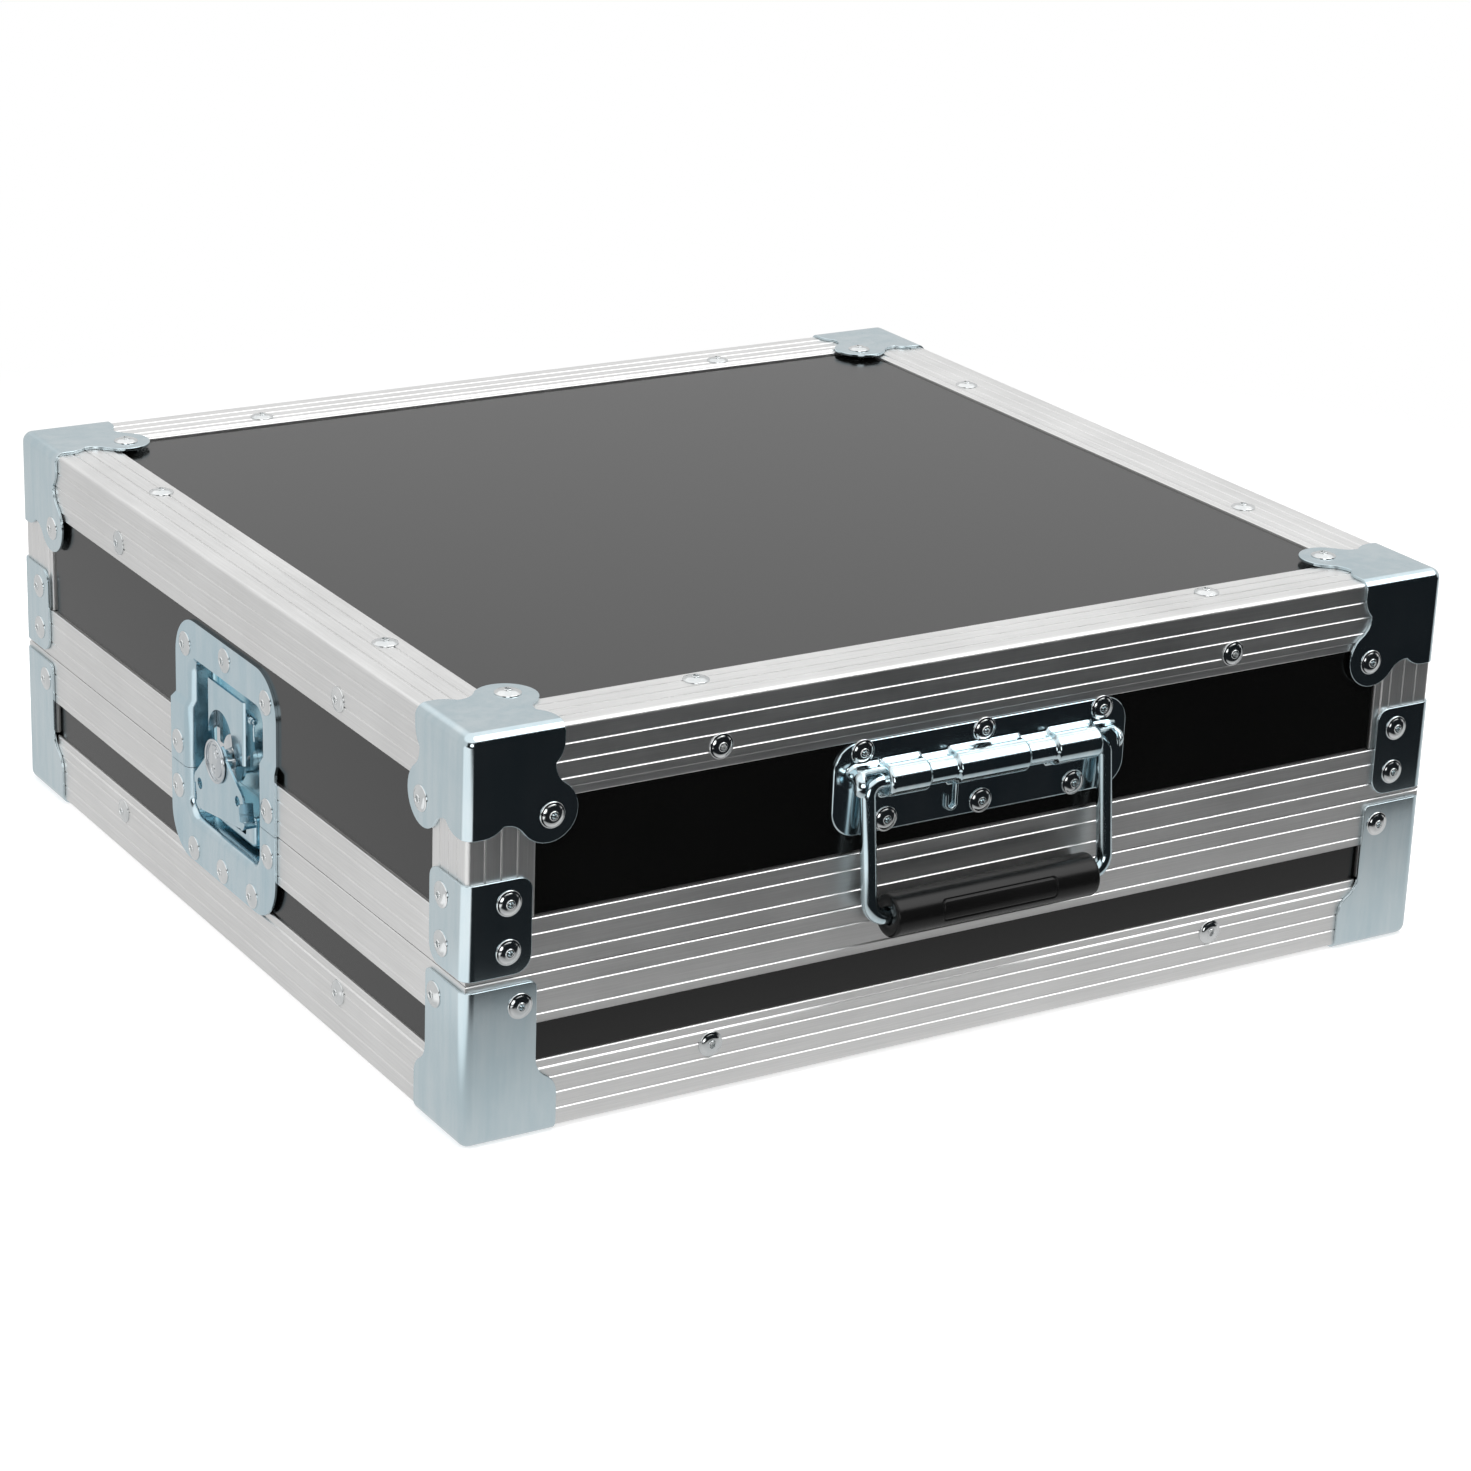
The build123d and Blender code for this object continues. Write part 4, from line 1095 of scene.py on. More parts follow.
@dataclass(frozen=True)
class CornerSteel:
    """Pressed corner caps of the lid and the base, and the L brackets on the lid's rim."""

    datum: CaseDatum
    wall: float = 1.5
    edge_radius: float = 5.0
    steps: int = 10
    reach: float = 42.6
    straight: float = 7.0
    bulge: Point2 = (41.5, 11.45)
    notch: Point2 = (38.6, 15.5)
    waist: Point2 = (39.4, 20.2)
    lobe: Point2 = (43.0, 24.5)
    lobe_corner: float = 44.9
    upright_width: float = 31.8
    upright_height: float = 67.5
    foot: float = 41.6
    flare_top: float = 33.0
    flare_bottom: float = 16.0
    foot_corner: float = 14.0
    upright_corner: float = 3.0
    bracket_width: float = 29.0
    bracket_span: Span = (2.2, 43.6)
    bracket_corners: Span = (8.0, 6.0)
    sheet: float = 1.45
    rounding: float = 0.35

    @property
    def flat(self) -> float:
        """Where the flat of a face begins, measured from the profiles' planes."""
        return self.edge_radius - self.wall

    def lobed(self) -> list[Point2]:
        """Outline of each face of a lid cap: straight, notch, lobe, notch, straight."""
        bulge = three_point_arc((self.reach, self.straight), self.bulge, self.notch, 6)
        waist = three_point_arc(self.notch, self.waist, self.lobe, 6)
        tip = (self.lobe_corner, self.lobe_corner)
        lobe = three_point_arc(self.lobe, tip, (self.lobe[1], self.lobe[0]), 18)
        half = [(self.reach, self.flat)] + bulge + waist[1:]
        other = [(b, a) for a, b in reversed(half)]
        return [(self.flat, self.flat)] + half + lobe[1:-1] + other

    def flared(self) -> list[Point2]:
        """Outline of an upright face of a base cap."""
        middle = ((self.upright_width + self.foot) / 2, (self.flare_top + self.flare_bottom) / 2)
        upper = tangent_arc((self.upright_width, self.flare_top), middle, 7)
        lower = tangent_arc((self.foot, self.flare_bottom), middle, 7)
        corner = self.upright_corner
        top = arc((self.upright_width - corner, self.upright_height - corner), corner, 0.0, 90.0, 5)
        outline = [(self.flat, self.flat), (self.foot, self.flat)]
        outline += lower + list(reversed(upper))[1:] + top + [(self.flat, self.upright_height)]
        return outline

    def footprint(self) -> list[Point2]:
        """Outline of a base cap's underside."""
        centre = self.foot - self.foot_corner
        corner = arc((centre, centre), self.foot_corner, 0.0, 90.0, 10)
        return [(self.flat, self.flat), (self.foot, self.flat)] + corner + [(self.flat, self.foot)]

    def bracket_face(self) -> list[Point2]:
        """Outline of a bracket's leg."""
        low, high = self.bracket_span
        low_radius, high_radius = self.bracket_corners
        width = self.bracket_width
        outline = [(self.flat, low)]
        outline += arc((width - low_radius, low + low_radius), low_radius, 270.0, 360.0, 8)
        outline += arc((width - high_radius, high - high_radius), high_radius, 0.0, 90.0, 8)
        return outline + [(self.flat, high)]

    def shell(self, place: Placer, faces: dict[str, list[Point2]],
              ends: dict[str, Span]) -> Shape:
        """Joins flat faces by rounded edges into an open shell.

        Args:
            place: world point of inward distances from the three outer planes.
            faces: outlines by the axis that the face is square to.
            ends: for each rounded edge, by the axis that it runs along, where it starts and ends.

        Returns:
            The shell, with its faces pointing outwards.
        """
        shape = Shape()

        def spot(axis: str, along: float, u: float, v: float) -> Vector:
            """World point whose distance along one axis is given, and then the other two."""
            distances = [u, v]
            distances.insert("abc".index(axis), along)
            return place(*distances)

        for axis, outline in faces.items():
            shape.face([spot(axis, -self.wall, u, v) for u, v in outline])
        bend = arc((self.flat, self.flat), self.edge_radius, 180.0, 270.0, self.steps)
        for axis, (start, end) in ends.items():
            shape.strip(*[[spot(axis, along, u, v) for u, v in bend] for along in (start, end)])
        if len(ends) == 3:
            self.ball(shape, place)
        inside = place(20.0, 20.0, 20.0)
        for face in shape.mesh.faces:
            face.normal_update()
            if face.normal.dot(face.calc_center_median() - inside) < 0:
                face.normal_flip()
        return shape

    def ball(self, shape: Shape, place: Placer) -> None:
        """Adds the eighth of a ball where three rounded edges meet.

        Args:
            shape: where it is added.
            place: world point of inward distances.
        """
        count = self.steps

        def spot(i: int, j: int) -> Vector:
            """Point of the patch by two of its three counts."""
            weights = (i, j, count - i - j)
            spokes = Vector([math.sin(math.pi / 2 * weight / count) for weight in weights]).normalized()
            return place(*[self.flat - self.edge_radius * spoke for spoke in spokes])

        for i in range(count):
            for j in range(count - i):
                shape.face((spot(i, j), spot(i + 1, j), spot(i, j + 1)))
                if i + j < count - 1:
                    shape.face((spot(i + 1, j), spot(i + 1, j + 1), spot(i, j + 1)))

    def build(self) -> None:
        """Makes the caps and brackets at every corner."""
        bracket_shapes = Shape()
        for corner in Corner:
            sign_x, sign_y = corner.signs

            def place(a: float, b: float, c: float, z: float = 0.0, up: int = 1) -> Vector:
                """World point of inward distances at this corner."""
                return self.datum.corner(corner, z) + Vector((-sign_x * a, -sign_y * b, up * c)) * MM

            lobed = self.lobed()
            cap = self.shell(
                lambda a, b, c: place(a, b, c, self.datum.top, -1),
                {axis: lobed for axis in "abc"}, {axis: (self.flat, self.reach) for axis in "abc"},
            )
            self.finish(cap, f"lid_{corner.value}_corner_cap", "lid", f"lid_{corner.value}_cap")
            flared = self.flared()
            level_edge, upright_edge = (self.flat, self.foot), (self.flat, self.upright_height)
            foot = self.shell(
                lambda a, b, c: place(a, b, c, self.datum.bottom, 1),
                {"a": flared, "b": flared, "c": self.footprint()},
                {"a": level_edge, "b": level_edge, "c": upright_edge},
            )
            self.finish(foot, f"base_{corner.value}_corner_cap", "base", f"base_{corner.value}_cap")
            leg = self.bracket_face()
            bracket = self.shell(
                lambda a, b, c: place(a, b, c, self.datum.seam, 1),
                {"a": leg, "b": leg}, {"c": self.bracket_span},
            )
            joined = bpy.data.meshes.new("bracket")
            bracket.merge()
            bracket.mesh.to_mesh(joined)
            bracket.mesh.free()
            bracket_shapes.mesh.from_mesh(joined)
            bpy.data.meshes.remove(joined)
        self.finish(bracket_shapes, "lid_rim_bracket_set", "lid", "lid_rim_brackets")

    def finish(self, shape: Shape, name: str, body: str, node: str) -> None:
        """Gives an open shell its wall and its rounded edges, and hands it over for a CAD node."""
        piece = shape.piece(
            name, CAP_ZINC, angle=38.0, bevel=self.rounding, wall=self.sheet, recalculate=False,
        )
        hand_over(piece, body, CAP_ZINC, node)


# Rivets


@dataclass(frozen=True)
class RivetSet:
    """Domed rivets with a hollow centre, laid out by one node tree."""

    datum: CaseDatum
    radius: float = 5.65
    height: float = 1.94
    size: float = 1.0
    turn_seed: int = 7
    sharp: float = 40.0
    profile_end: float = 115.0
    profile_inset: float = 21.4
    cap_inset: float = 37.0
    base_cap: Span = (24.0, 58.0)
    bracket_inset: float = 18.3
    bracket_heights: Span = (12.5, 33.6)
    hole: float = 1.2
    ring: float = 2.05
    shank: float = 3.2
    upper: tuple[Point2, ...] = ((-42.5, 40.8), (0.0, 46.3), (42.5, 40.8), (-47.3, -7.0), (47.3, -7.0))
    lower: tuple[Point2, ...] = ((-47.3, -28.4), (47.3, -28.4), (-31.0, -53.2), (0.0, -53.2), (31.0, -53.2))
    plate: tuple[Point2, ...] = (
        (-61.0, 139.3), (0.0, 139.3), (61.0, 139.3), (-48.0, 107.3), (0.0, 107.3), (48.0, 107.3)
    )

    def head(self) -> bpy.types.Object:
        """One rivet head at the origin, standing along Z.

        Returns:
            The head, to be copied by the node tree.
        """
        hole, ring, shank, rim, top = self.hole, self.ring, self.shank, self.radius, self.height
        bore = [(0.0, -1.1), (hole - 0.3, -1.0), (hole - 0.05, -0.4), (hole, top - 0.5)]
        lip = [(1.26, top - 0.2), (1.38, top + 0.02), (1.6, top + 0.06), (1.85, top + 0.02)]
        lip += [(ring - 0.05, top - 0.14), (ring, top - 0.42)]
        dome = [(2.2, top - 0.46), (2.9, top - 0.5), (3.6, top - 0.66), (4.2, top - 0.92)]
        skirt = [(4.6, top - 1.18), (4.85, top - 1.34), (rim - 0.4, top - 1.36)]
        skirt += [(rim - 0.12, top - 1.46), (rim, top - 1.66)]
        foot = [(rim, 0.0), (shank, 0.0), (shank, -1.5), (0.0, -1.5)]
        shape = Shape()
        profile = [*bore, *lip, *dome, *skirt, *foot]
        shape.turned(profile, Vector(), Vector((0, 0, 1)), Vector((1, 0, 0)), 28)
        return shape.piece("rivet_head", RIVET_ZINC, self.sharp)

    def spots(self) -> dict[str, list[tuple[Vector, Vector]]]:
        """Foot and direction of each rivet, by body.

        Returns:
            The places for the lid and for the base.
        """
        height, seam, steel = self.datum.height, self.datum.seam_height, CornerSteel.wall
        found: dict[str, list[tuple[Vector, Vector]]] = {"lid": [], "base": []}
        for side in Side:
            place = self.datum.side(side)
            half = self.datum.length(side) / 2
            for sign in (-1, 1):
                def add(part: str, inset: float, level: float, out: float) -> None:
                    """Adds one rivet on this side."""
                    found[part].append((place.at(sign * (half - inset), level, out), place.z))

                add("lid", self.profile_end, height - self.profile_inset, 0.0)
                add("base", self.profile_end, self.profile_inset, 0.0)
                add("lid", self.cap_inset, height - self.cap_inset, steel)
                add("base", *self.base_cap, steel)
                for level in self.bracket_heights:
                    add("lid", self.bracket_inset, seam + level, steel)
        up = Vector((0, 0, 1))
        centre = Vector((0.0, self.datum.middle, self.datum.top))
        width, depth = self.datum.length(Side.FRONT) / 2, self.datum.length(Side.LEFT) / 2
        for sign_x in (-1, 1):
            for sign_y in (-1, 1):
                for inset_x, inset_y, level in (
                    (self.profile_end, self.profile_inset, 0.0),
                    (self.profile_inset, self.profile_end, 0.0),
                    (self.cap_inset, self.cap_inset, steel),
                ):
                    spot = Vector((sign_x * (width - inset_x), sign_y * (depth - inset_y), level)) * MM
                    found["lid"].append((centre + spot, up))
        for side in (Side.LEFT, Side.RIGHT):
            latch = TurnLatch(self.datum, side)
            for body, rivets in (("lid", self.upper), ("base", self.lower)):
                for x, y in rivets:
                    found[body].append((latch.frame.at(x, y, latch.level(y)), latch.frame.z))
        place = self.datum.side(Side.FRONT)
        found["lid"] += [(place.at(x, z, BailHandle.plate_face), place.z) for x, z in self.plate]
        return found

    def tree(self) -> tuple[bpy.types.NodeTree, dict[str, str]]:
        """The node tree that stands a head on each point.

        Returns:
            The tree, and its inputs' identifiers by name.
        """
        tree = bpy.data.node_groups.new("rivet_layout", "GeometryNodeTree")
        face = tree.interface
        inputs = {}
        for name, kind in (
            ("Places", "NodeSocketGeometry"), ("Head", "NodeSocketObject"), ("Size", "NodeSocketFloat"),
            ("Turn Seed", "NodeSocketInt"), ("Finish", "NodeSocketMaterial"),
        ):
            inputs[name] = face.new_socket(name, in_out="INPUT", socket_type=kind).identifier
        face.new_socket("Rivets", in_out="OUTPUT", socket_type="NodeSocketGeometry")
        bench = Bench(tree)
        given = bench.node("NodeGroupInput")
        head = bench.node("GeometryNodeObjectInfo", None, {"Object": given["Head"]})["Geometry"]
        facing = bench.node(
            "GeometryNodeInputNamedAttribute", {"data_type": "FLOAT_VECTOR"}, {"Name": "facing"},
        )["Attribute"]
        aligned = bench.node(
            "FunctionNodeAlignRotationToVector", {"axis": "Z"}, {"Vector": facing},
        )["Rotation"]
        spin = bench.node("FunctionNodeRandomValue", {"data_type": "FLOAT_VECTOR"}, {
            0: (0.0, 0.0, 0.0), 1: (0.0, 0.0, 2 * math.pi), "Seed": given["Turn Seed"],
        })[0]
        turns = {"Rotation": aligned, "Rotate By": spin}
        turned = bench.node("FunctionNodeRotateRotation", {"rotation_space": "LOCAL"}, turns)["Rotation"]
        stood = bench.node("GeometryNodeInstanceOnPoints", None, {
            "Points": given["Places"], "Instance": head, "Rotation": turned, "Scale": given["Size"],
        })["Instances"]
        real = bench.node("GeometryNodeRealizeInstances", None, {"Geometry": stood})["Geometry"]
        values = {"Geometry": real, "Material": given["Finish"]}
        dressed = bench.node("GeometryNodeSetMaterial", None, values)["Geometry"]
        bench.node("NodeGroupOutput", None, {0: dressed})
        return tree, inputs

    def build(self) -> None:
        """Makes one set of rivets for the lid and one for the base."""
        head = self.head()
        tree, inputs = self.tree()
        for body, spots in self.spots().items():
            data = bpy.data.meshes.new(f"{body}_rivet_places")
            data.from_pydata([spot for spot, _ in spots], [], [])
            facing = data.attributes.new("facing", "FLOAT_VECTOR", "POINT")
            facing.data.foreach_set("vector", [value for _, out in spots for value in out])
            piece = bpy.data.objects.new(f"{body}_rivet_set", data)
            bpy.context.scene.collection.objects.link(piece)
            layout = piece.modifiers.new("layout", "NODES")
            layout.node_group = tree
            layout[inputs["Head"]] = head
            layout[inputs["Size"]] = self.size
            layout[inputs["Turn Seed"]] = self.turn_seed
            layout[inputs["Finish"]] = RIVET_ZINC.material()
            settle(piece)
            shade(piece, self.sharp)
            hand_over(piece, body, RIVET_ZINC, f"{body}_rivets")
        bpy.data.objects.remove(head)
        bpy.data.node_groups.remove(tree)


# Latches


@dataclass(frozen=True)
class TurnLatch:
    """One recessed turn latch, in its own millimetres: y up from the spindle, z out of the end."""

    datum: CaseDatum
    side: Side
    height: float = 87.0
    sheet: float = 1.3
    lower_half: float = 55.0
    upper_half: float = 53.0
    flange: Span = (-59.5, 54.0)
    step: Span = (12.0, 15.0)
    sunk: float = 1.8
    flange_corner: float = 20.0
    pocket_half: float = 36.5
    pocket: Span = (-38.0, 36.8)
    pocket_depth: float = 12.7
    pocket_corner: float = 8.0
    shoulder: float = 4.0
    floor_round: float = 2.5
    seam: float = -17.0
    seam_gap: float = 0.3
    bearing: float = 4.05
    keeper: Point3 = (20.5, -36.0, -21.8)
    keeper_face: float = -4.8
    keeper_slot: Point3 = (12.0, -32.2, -29.2)
    keeper_roll: float = 1.8
    keeper_corner: float = 2.6
    slot_corner: float = 1.2
    boss: Point2 = (7.0, 4.6)
    dimple: Point2 = (1.8, 4.2)
    dimple_radius: float = 2.3
    arm: Point3 = (5.5, 17.6, 3.2)
    arm_levels: Span = (-6.0, -4.6)
    lug_inset: float = 1.6
    pin_place: Span = (25.0, -4.0)
    pin_span: Span = (-21.0, 24.2)
    pin_radius: float = 1.1
    pin_play: float = 0.05
    spring_start: float = 20.0
    spring_turns: float = 2.5
    spring_pitch: float = 1.3
    spring_radius: float = 1.55
    spring_wire: float = 0.4
    wing_half: float = 19.2
    wing_span: Span = (3.2, 32.7)
    wing_face: float = -0.6
    wing_flange: float = 5.4
    wing_bend: float = 1.6
    wing_sheet: float = 1.2
    wing_notch: float = 11.2
    finger_hole: Point3 = (-5.4, 8.2, 12.7)
    hasp_face: float = 3.6
    hasp_lean: float = 7.8
    hasp_drift: Point2 = (-0.6, 0.3)
    hasp_half: float = 26.0
    hasp_foot: float = -27.5
    hasp_corner: float = 4.0
    hasp_hip: Point2 = (26.0, -11.6)
    hasp_shoulder: Point2 = (10.5, 1.5)
    hasp_hole: Point3 = (20.3, -14.8, 2.6)
    yoke: float = 9.9
    yoke_slot: float = 4.9
    fold_round: float = 1.6
    fold_top: float = -15.0
    foot_fold: float = 7.7
    side_fold: float = 5.0

    @property
    def frame(self) -> Place:
        """The latch's own axes."""
        return self.datum.side(self.side, self.height)

    def level(self, y: float) -> float:
        """Height of the flange's face, which steps down on to the panel."""
        low, high = self.step
        return self.sheet - self.sunk * clamped((y - low) / (high - low))

    def pocket_rim(self) -> list[tuple[Point2, Point2, Point2]]:
        """The pocket's outline.

        Returns:
            For each point its place, the way its mouth widens, and its outward direction.
        """
        half, corner = self.pocket_half, self.pocket_corner
        low, high = self.pocket
        rim: list[tuple[Point2, Point2, Point2]] = []
        for y in (low + corner, self.seam, 0.0, *self.step, high - corner):
            rim.append(((half, y), (1.0, 0.0), (1.0, 0.0)))
        after_first, before_last = slice(1, None), slice(0, -1)
        for sign, start, kept in ((1, 0.0, after_first), (-1, 90.0, before_last)):
            for x, y in arc((0.0, 0.0), 1.0, start, start + 90.0, 8)[kept]:
                spot = (sign * (half - corner) + x * corner, high - corner + y * corner)
                rim.append((spot, (float(sign), 0.0), (x, y)))
        for y in (high - corner, *reversed(self.step), 0.0, self.seam, low + corner):
            rim.append(((-half, y), (-1.0, 0.0), (-1.0, 0.0)))
        for sign, start, kept in ((-1, 180.0, after_first), (1, 270.0, before_last)):
            for x, y in arc((0.0, 0.0), 1.0, start, start + 90.0, 8)[kept]:
                spot = (sign * (half - corner) + x * corner, low + corner + y * corner)
                rim.append((spot, (x, y), (x, y)))
        return rim

    def dish(self) -> Shape:
        """The whole dish as one open skin that faces out of the case."""
        at, out = self.frame.at, self.frame.z
        shape = Shape()
        rim = self.pocket_rim()
        rows = []
        for turn in quarter(8):
            wide, drop = self.shoulder * (1 - math.sin(turn)), self.shoulder * (1 - math.cos(turn))
            rows.append([
                at(x + wide * open_x, y + wide * open_y, self.level(y) - drop)
                for (x, y), (open_x, open_y), _ in rim
            ])
        for turn in quarter(6):
            inset, lift = self.floor_round * (1 - math.cos(turn)), self.floor_round * (1 - math.sin(turn))
            rows.append([
                at(x - inset * out_x, y - inset * out_y, lift - self.pocket_depth)
                for (x, y), _, (out_x, out_y) in rim
            ])
        shape.skin(rows, closed=True)
        shape.fill([rows[-1], [at(x, y, -self.pocket_depth) for x, y in circle(0, 0, self.bearing)]], out)
        self.flange_faces(shape, rim)
        return shape

    def flange_faces(self, shape: Shape, rim: Sequence[tuple[Point2, Point2, Point2]]) -> None:
        """Adds the flange: its lower field, the step and its upper field.

        Args:
            shape: where it is added.
            rim: the pocket's outline.
        """
        at, out = self.frame.at, self.frame.z
        low, high = self.step
        mouth = [(x + self.shoulder * a, y + self.shoulder * b) for (x, y), (a, b), _ in rim]
        bottom, top = self.flange
        corner = self.flange_corner
        half = self.lower_half
        lower = rounded_outline([
            (-half, low, 0), (-half, bottom, corner), (half, bottom, corner), (half, low, 0),
        ], 12)
        half = self.upper_half
        upper = rounded_outline([
            (half, high, 0), (half, top, corner), (-half, top, corner), (-half, high, 0),
        ], 12)

        def clockwise(sign: int, height: float) -> list[Point2]:
            """The mouth from its point at a height on one side round to the same height on the other."""
            def spot(points: list[Point2], side: int) -> int:
                """Index of the point at the height on a side."""
                return next(i for i, (x, y) in enumerate(points) if x * side > 0 and abs(y - height) < TINY)

            first = spot(mouth, sign)
            turned = [mouth[(first - index) % len(mouth)] for index in range(len(mouth))]
            return turned[:spot(turned, -sign) + 1]

        for field, sign, height in ((lower, 1, low), (upper, -1, high)):
            shape.fill([[at(x, y, self.level(height)) for x, y in field + clockwise(sign, height)]], out)
        inner = self.pocket_half + self.shoulder
        for sign in (-1, 1):
            corners = ((inner, low), (self.lower_half, low), (self.upper_half, high), (inner, high))
            shape.fill([[at(sign * x, y, self.level(y)) for x, y in corners]], out)

    def keeper_skin(self, shape: Shape) -> None:
        """Adds the bridge that is pressed up in the lower dish, with its slot.

        Args:
            shape: where it is added.
        """
        at, out = self.frame.at, self.frame.z
        half, low, high = self.keeper
        roll = self.keeper_roll

        def outline(inset: float) -> list[Point2]:
            """The bridge's outline, drawn in."""
            side, radius = half - inset, self.keeper_corner - inset
            return rounded_box(-side, low + inset, side, high - inset, radius, 5)

        rows = [[at(x, y, -self.pocket_depth - 0.4) for x, y in outline(0.0)]]
        for turn in quarter(5):
            level = self.keeper_face - roll * (1 - math.sin(turn))
            rows.append([at(x, y, level) for x, y in outline(roll * (1 - math.cos(turn)))])
        shape.skin(rows, closed=True)
        slot_half, slot_low, slot_high = self.keeper_slot
        slot = rounded_box(-slot_half, slot_low, slot_half, slot_high, self.slot_corner, 4)
        shape.fill([rows[-1], [at(x, y, self.keeper_face) for x, y in slot]], out)

    def build_dishes(self) -> None:
        """Makes the upper dish on the lid and the keeper dish on the base."""
        side = self.side.value
        up = self.frame.y
        for name, body, level, keep in (
            ("upper_dish", "lid", self.seam + self.seam_gap, up), ("keeper_dish", "base", self.seam, -up),
        ):
            shape = self.dish()
            shape.merge()
            bmesh.ops.bisect_plane(
                shape.mesh, geom=[*shape.mesh.verts, *shape.mesh.edges, *shape.mesh.faces],
                plane_co=self.frame.at(0, level), plane_no=-keep, clear_outer=True,
            )
            if body == "base":
                self.keeper_skin(shape)
            piece = shape.piece(
                f"{side}_latch_{name}", LATCH_ZINC, angle=28.0, bevel=0.3, wall=self.sheet - 0.05,
                recalculate=False,
            )
            hand_over(piece, body, LATCH_ZINC, f"{side}_{name}")

    def build_spindle(self) -> None:
        """Makes the head with its two peened ends, the neck, the ring and hub, and the carrier arms."""
        at, out = self.frame.at, self.frame.z
        shape = Shape()
        back = -self.pocket_depth - self.sheet
        radius, crown = self.boss
        groove = [self.boss, (7.25, 4.5), (7.4, 4.1), (7.5, 4.0), (8.7, 4.0), (8.85, 4.15)]
        rim = [(8.95, 4.8), (9.15, 5.0), (9.75, 5.0), (10.05, 4.85), (10.2, 4.5), (10.2, 4.15), (9.95, 3.9)]
        neck = [(5.2, 3.9), (4.75, 3.78), (4.6, 3.65), (4.6, -3.6), (5.0, -4.2), (5.6, -4.4)]
        ring = [(10.7, -4.4), (11.0, -4.7), (11.0, -5.7), (10.7, -6.0)]
        hub = [(8.0, -6.0), (8.0, -12.6), (4.0, -12.6)]
        tail = [(4.0, back), (6.0, back), (6.0, back - 1.5), (0.0, back - 1.5)]
        shape.turned([*groove, *rim, *neck, *ring, *hub, *tail], at(0, 0), out, self.frame.x, 56)
        spots = (self.dimple, (-self.dimple[0], -self.dimple[1]))
        loops = [[(radius * x, radius * y) for x, y in circle(0, 0, 1.0, 56)]]
        loops += [circle(*spot, self.dimple_radius, 24) for spot in spots]
        shape.fill([[at(x, y, crown) for x, y in loop] for loop in loops], out)
        bowl = [(self.dimple_radius, crown), (2.1, 4.2), (1.95, 4.15), (1.8, 4.4), (1.5, 4.7), (0.8, 4.82)]
        for x, y in spots:
            shape.turned([*bowl, (0.0, 4.84)], at(x, y), out, self.frame.x, 24)
        height, depth = self.pin_place
        near, far, width = self.arm
        inner, end = far - width, height + 1.0
        for sign in (-1, 1):
            leg = rounded_outline([
                (sign * near, 0.0, 0), (sign * far, 0.0, 0.8), (sign * far, end, 1.2),
                (sign * inner, end, 1.2), (sign * inner, width, 0.8), (sign * near, width, 0),
            ], 3)
            shape.sheet(at, self.arm_levels, leg if sign > 0 else list(reversed(leg)))
            lug = [(0.0, -1.6), (1.7, -1.6), (2.0, -1.3), (2.0, 1.3), (1.7, 1.6), (0.0, 1.6)]
            shape.turned(lug, at(sign * (far - self.lug_inset), height, depth), self.frame.x, out, 24)
        side = self.side.value
        piece = shape.piece(f"{side}_latch_spindle", SPINDLE_ZINC, angle=32.0)
        hand_over(piece, f"{side}_spindle", SPINDLE_ZINC, f"{side}_spindle")

    def build_wing(self) -> None:
        """Makes the folding wing: a channel with a notch, a finger hole and two cut-back flanges."""
        at, out, across = self.frame.at, self.frame.z, self.frame.x
        half, face, bend = self.wing_half, self.wing_face, self.wing_bend
        deep = face - self.wing_flange
        section = [(-half, deep)] + arc((-half + bend, face - bend), bend, 180.0, 90.0, 6)
        section += arc((half - bend, face - bend), bend, 90.0, 0.0, 6) + [(half, deep)]
        shape = Shape()
        low, high = self.wing_span
        shape.strip([at(x, low, z) for x, z in section], [at(x, high, z) for x, z in section])
        notch, finger, ends, clip, bore = Shape(), Shape(), Shape(), Shape(), Shape()
        under, over, wide = -9.0, 3.0, 25.0
        finger_x, finger_y, finger_radius = self.finger_hole
        for cutter, radius, centre, steps in (
            (notch, self.wing_notch, at(0, 0), 56), (finger, finger_radius, at(finger_x, finger_y), 64),
        ):
            drum = [(0, under), (radius, under), (radius, over), (0, over)]
            cutter.turned(drum, centre, out, across, steps)
        height, depth = self.pin_place
        radius = self.pin_radius + self.pin_play
        hole = [(0, -wide), (radius, -wide), (radius, wide), (0, wide)]
        bore.turned(hole, at(0, height, depth), across, out, 20)
        inside, skirt = face - self.wing_sheet - 0.08, deep - 0.1
        for outline in (
            ((29.3, inside), (29.3, -3.3), (27.0, skirt), (27.0, under), (34.0, under), (34.0, inside)),
            ((7.0, inside), (0.0, inside), (0.0, under), (10.0, under), (10.0, skirt)),
        ):
            rows = [[at(x, y, z) for y, z in outline] for x in (-wide, wide)]
            ends.strip(rows[0], rows[1], closed=True)
            ends.fill([rows[0]], -across)
            ends.fill([rows[1]], across)
        clip.sheet(at, (under, over), [(-half - 3.0, 13.7), (-half - 3.0, 0.0), (-13.1, 0.0)])
        side = self.side.value
        piece = shape.piece(
            f"{side}_latch_wing", LATCH_ZINC, angle=32.0, bevel=0.22, wall=self.wing_sheet,
            recalculate=False, cuts=(notch, finger, ends, clip, bore),
        )
        hand_over(piece, f"{side}_wing", LATCH_ZINC, f"{side}_wing")

